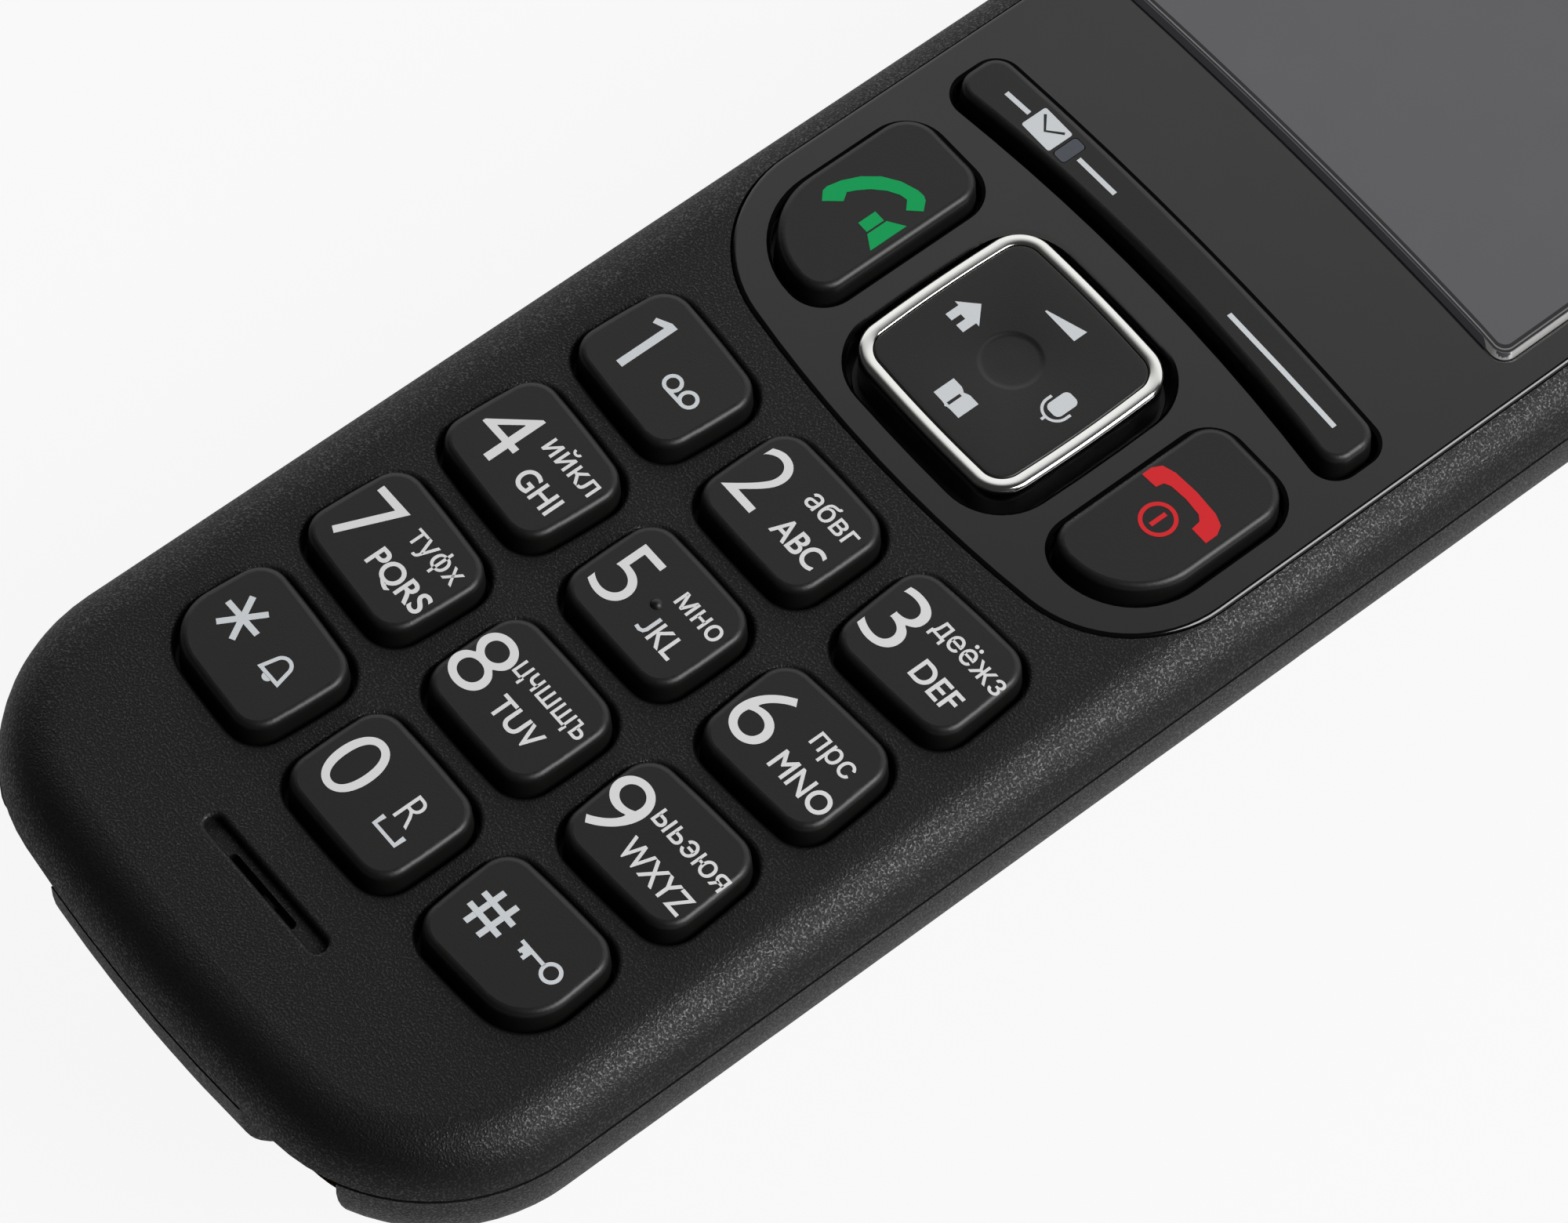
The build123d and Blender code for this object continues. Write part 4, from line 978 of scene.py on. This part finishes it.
class HANDSET_OT_pad_cap(Operator):
    """Make the pad's satin cap, which fills the ring and has a shallow dish for the thumb"""

    bl_idname = "handset.pad_cap"
    bl_label = "Make the pad's cap"

    def execute(self, context):
        section = [(0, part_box("nav_key")[1].z - CAP_DEPTH)]
        section += fillet_steps(-CAP_EDGE, PAD_TOP - CAP_EDGE, CAP_EDGE, 0, 90)
        section += [(-3 * CAP_EDGE, PAD_TOP)]
        loops = [pad_loop(grow, z) for grow, z in section]
        middle = Vector((PAD_MIDDLE.x, PAD_MIDDLE.y, 0))
        ways = [(Vector((x, y, 0)) - middle).normalized() for x, y, z in loops[0]]
        for radius, depth in DISH:
            z = PAD_TOP - depth * MM
            loops.append([(*(PAD_MIDDLE + way * radius * MM).xy, z) for way in ways])
        mesh = loops_mesh(loops, False, "satin_lacquered_keys")
        joined("nav_pad_cap", [mesh], "nav_key")
        return {"FINISHED"}


class HANDSET_OT_window_edge(Operator):
    """Add the painted highlight on the display window's cut edge and the fainter painted highlight line
    inside it
    """

    bl_idname = "handset.window_edge"
    bl_label = "Edge the window"

    def execute(self, context):
        # The outer band and the thin line are painted highlight on the window's cut edge
        bright, dark, line = (
            [window_loop(inset) for inset in trim] for trim in (PAINTED_HIGHLIGHT_TRIM, DARK_TRIM, PAINTED_HIGHLIGHT_LINE_TRIM)
        )
        # The dark band lies half an ink's thickness lower, so that the line stands over it
        sunk = FACE - settings("handset_printing").ink / 2
        bands = [
            band(*bright, "bright_acrylic_edge", *(FACE - depth for depth in PAINTED_HIGHLIGHT_DEPTHS)),
            band(*dark, "black_moulded_frame", sunk),
            band(*line, "dim_acrylic_edge", FACE),
        ]
        joined("window_edge", bands, ROOT_BODY)
        return {"FINISHED"}


# Direction of the studio's bright side, and how far towards it the light starts and is full
BRIGHT_SIDE = (-0.6, 0.8, 0.0)
BRIGHT_EDGE = (0.37, 0.6)

# Square lamps, in metres: place, the point that each faces, and its side
OVERHEAD_SOFTBOX = ((0.6, 0.25, 0.62), (0, 0, 0), 0.5)
SIDE_SOFTBOX = ((0.6, 0.25, 0.28), (0, 0, 0.02), 0.3)

# Share of the sheet's glow that mirrors show
MIRRORED_GLOW = 0.2

# Nothing nearer to the camera than this is drawn, in metres
NEAREST = 0.01

# The photograph's camera, fitted to the keys: place in millimetres, and its right, up and back
CAMERA_PLACE = (152.94, -161.18, 371.35)
CAMERA_AXES = (
    (0.630195, 0.776095, 0.023054),
    (-0.68157, 0.53873, 0.49521),
    (0.37191, -0.327791, 0.868468),
)


def studio_light():
    """World with one broad bright side, past the display's left, which the flat faces mirror."""
    stage = settings("handset_stage")
    world = bpy.data.worlds.new("soft_studio_light")
    world.use_nodes = True
    tree = world.node_tree
    tree.nodes.clear()
    way = add_node(tree, "ShaderNodeTexCoord")
    towards = add_node(
        tree,
        "ShaderNodeVectorMath",
        {"operation": "DOT_PRODUCT"},
        {0: way.outputs["Generated"], 1: BRIGHT_SIDE},
    )
    strength = add_node(
        tree,
        "ShaderNodeMapRange",
        {"interpolation_type": "SMOOTHSTEP"},
        {
            "Value": towards.outputs["Value"],
            "From Min": BRIGHT_EDGE[0],
            "From Max": BRIGHT_EDGE[1],
            "To Min": stage.dark,
            "To Max": stage.bright,
        },
    )
    sky = add_node(
        tree, "ShaderNodeBackground", inputs={"Color": (1, 1, 1, 1), "Strength": strength.outputs[0]}
    )
    add_node(tree, "ShaderNodeOutputWorld", inputs={"Surface": sky.outputs[0]})
    return world


def studio_sheet():
    """Studio sheet lit through to white for the camera, in part for mirrors, with a fainter shadow."""
    stage = settings("handset_stage")
    material, tree, shader = new_material("white_studio_sheet", stage.floor, 0.9)
    glow = add_node(tree, "ShaderNodeEmission", inputs={"Color": (1, 1, 1, 1), "Strength": 1.0})
    ray = add_node(tree, "ShaderNodeLightPath")
    mirrored = add_node(
        tree,
        "ShaderNodeMath",
        {"operation": "MULTIPLY_ADD"},
        {0: ray.outputs["Is Glossy Ray"], 1: MIRRORED_GLOW, 2: ray.outputs["Is Camera Ray"]},
    )
    seen = add_node(
        tree,
        "ShaderNodeMath",
        {"operation": "MAXIMUM"},
        {0: mirrored.outputs[0], 1: ray.outputs["Is Transmission Ray"]},
    )
    share = add_node(
        tree, "ShaderNodeMath", {"operation": "MULTIPLY"}, {0: seen.outputs[0], 1: 1 - stage.shadow}
    )
    mixed = add_node(
        tree, "ShaderNodeMixShader", inputs={0: share.outputs[0], 1: shader.outputs[0], 2: glow.outputs[0]}
    )
    output = next(node for node in tree.nodes if node.type == "OUTPUT_MATERIAL")
    tree.links.new(mixed.outputs[0], output.inputs["Surface"])
    return material


def soft_lamp(name, place, target, side, power):
    """Hangs a square lamp and aims it at a point, in metres."""
    data = bpy.data.lights.new(name, "AREA")
    data.size = side
    data.energy = power
    lamp = link(bpy.data.objects.new(name, data))
    lamp.location = place
    lamp.rotation_euler = (Vector(target) - Vector(place)).to_track_quat("-Z", "Y").to_euler()


class HANDSET_OT_stage(Operator):
    """Lay the floor, hang the lamps and place the camera"""

    bl_idname = "handset.stage"
    bl_label = "Set the stage"

    def execute(self, context):
        stage = settings("handset_stage")
        half = stage.floor_size / 2
        mesh = bpy.data.meshes.new("studio_floor")
        corners = [(-half, -half, 0), (half, -half, 0), (half, half, 0), (-half, half, 0)]
        mesh.from_pydata(corners, [], [(0, 1, 2, 3)])
        mesh.materials.append(studio_sheet())
        link(bpy.data.objects.new("studio_floor", mesh))
        context.scene.world = studio_light()
        soft_lamp("overhead_softbox", *OVERHEAD_SOFTBOX, stage.overhead)
        soft_lamp("side_softbox", *SIDE_SOFTBOX, stage.side)
        data = bpy.data.cameras.new("camera")
        data.lens = stage.lens
        data.sensor_width = stage.sensor
        data.clip_start = NEAREST
        camera = link(bpy.data.objects.new("camera", data))
        turn = Matrix(CAMERA_AXES).transposed().to_4x4()
        camera.matrix_world = Matrix.Translation(Vector(CAMERA_PLACE) * MM) @ turn
        context.scene.camera = camera
        context.scene.view_settings.view_transform = "Standard"
        return {"FINISHED"}


OPERATORS = (
    HANDSET_OT_finishes,
    HANDSET_OT_number_prints,
    HANDSET_OT_side_prints,
    HANDSET_OT_centre_prints,
    HANDSET_OT_window_edge,
    HANDSET_OT_pad_ring,
    HANDSET_OT_pad_cap,
    HANDSET_OT_stage,
)


class HANDSET_PT_panel(Panel):
    """Lists the settings and the steps that build the handset"""

    bl_idname = "HANDSET_PT_panel"
    bl_label = "Cordless handset"
    bl_space_type = "VIEW_3D"
    bl_region_type = "UI"
    bl_category = "Handset"

    def draw(self, context):
        for name in GROUPS:
            group = getattr(context.scene, name)
            box = self.layout.box()
            box.label(text=group.bl_rna.description)
            for key in group.__annotations__:
                box.prop(group, key)
        for operator in OPERATORS:
            self.layout.operator(operator.bl_idname)


GROUPS = {
    "handset_finish": HandsetFinish,
    "handset_printing": HandsetPrinting,
    "handset_pad": HandsetPad,
    "handset_stage": HandsetStage,
}
CLASSES = (*GROUPS.values(), *OPERATORS, HANDSET_PT_panel)


def register():
    """Registers the classes and the scene's settings."""
    for cls in CLASSES:
        bpy.utils.register_class(cls)
    for name, group in GROUPS.items():
        setattr(bpy.types.Scene, name, PointerProperty(type=group))


def unregister():
    """Removes the settings and the classes."""
    for name in GROUPS:
        delattr(bpy.types.Scene, name)
    for cls in reversed(CLASSES):
        bpy.utils.unregister_class(cls)


def main():
    register()
    for operator in OPERATORS:
        group, name = operator.bl_idname.split(".")
        getattr(getattr(bpy.ops, group), name)()


if __name__ == "__main__":
    main()
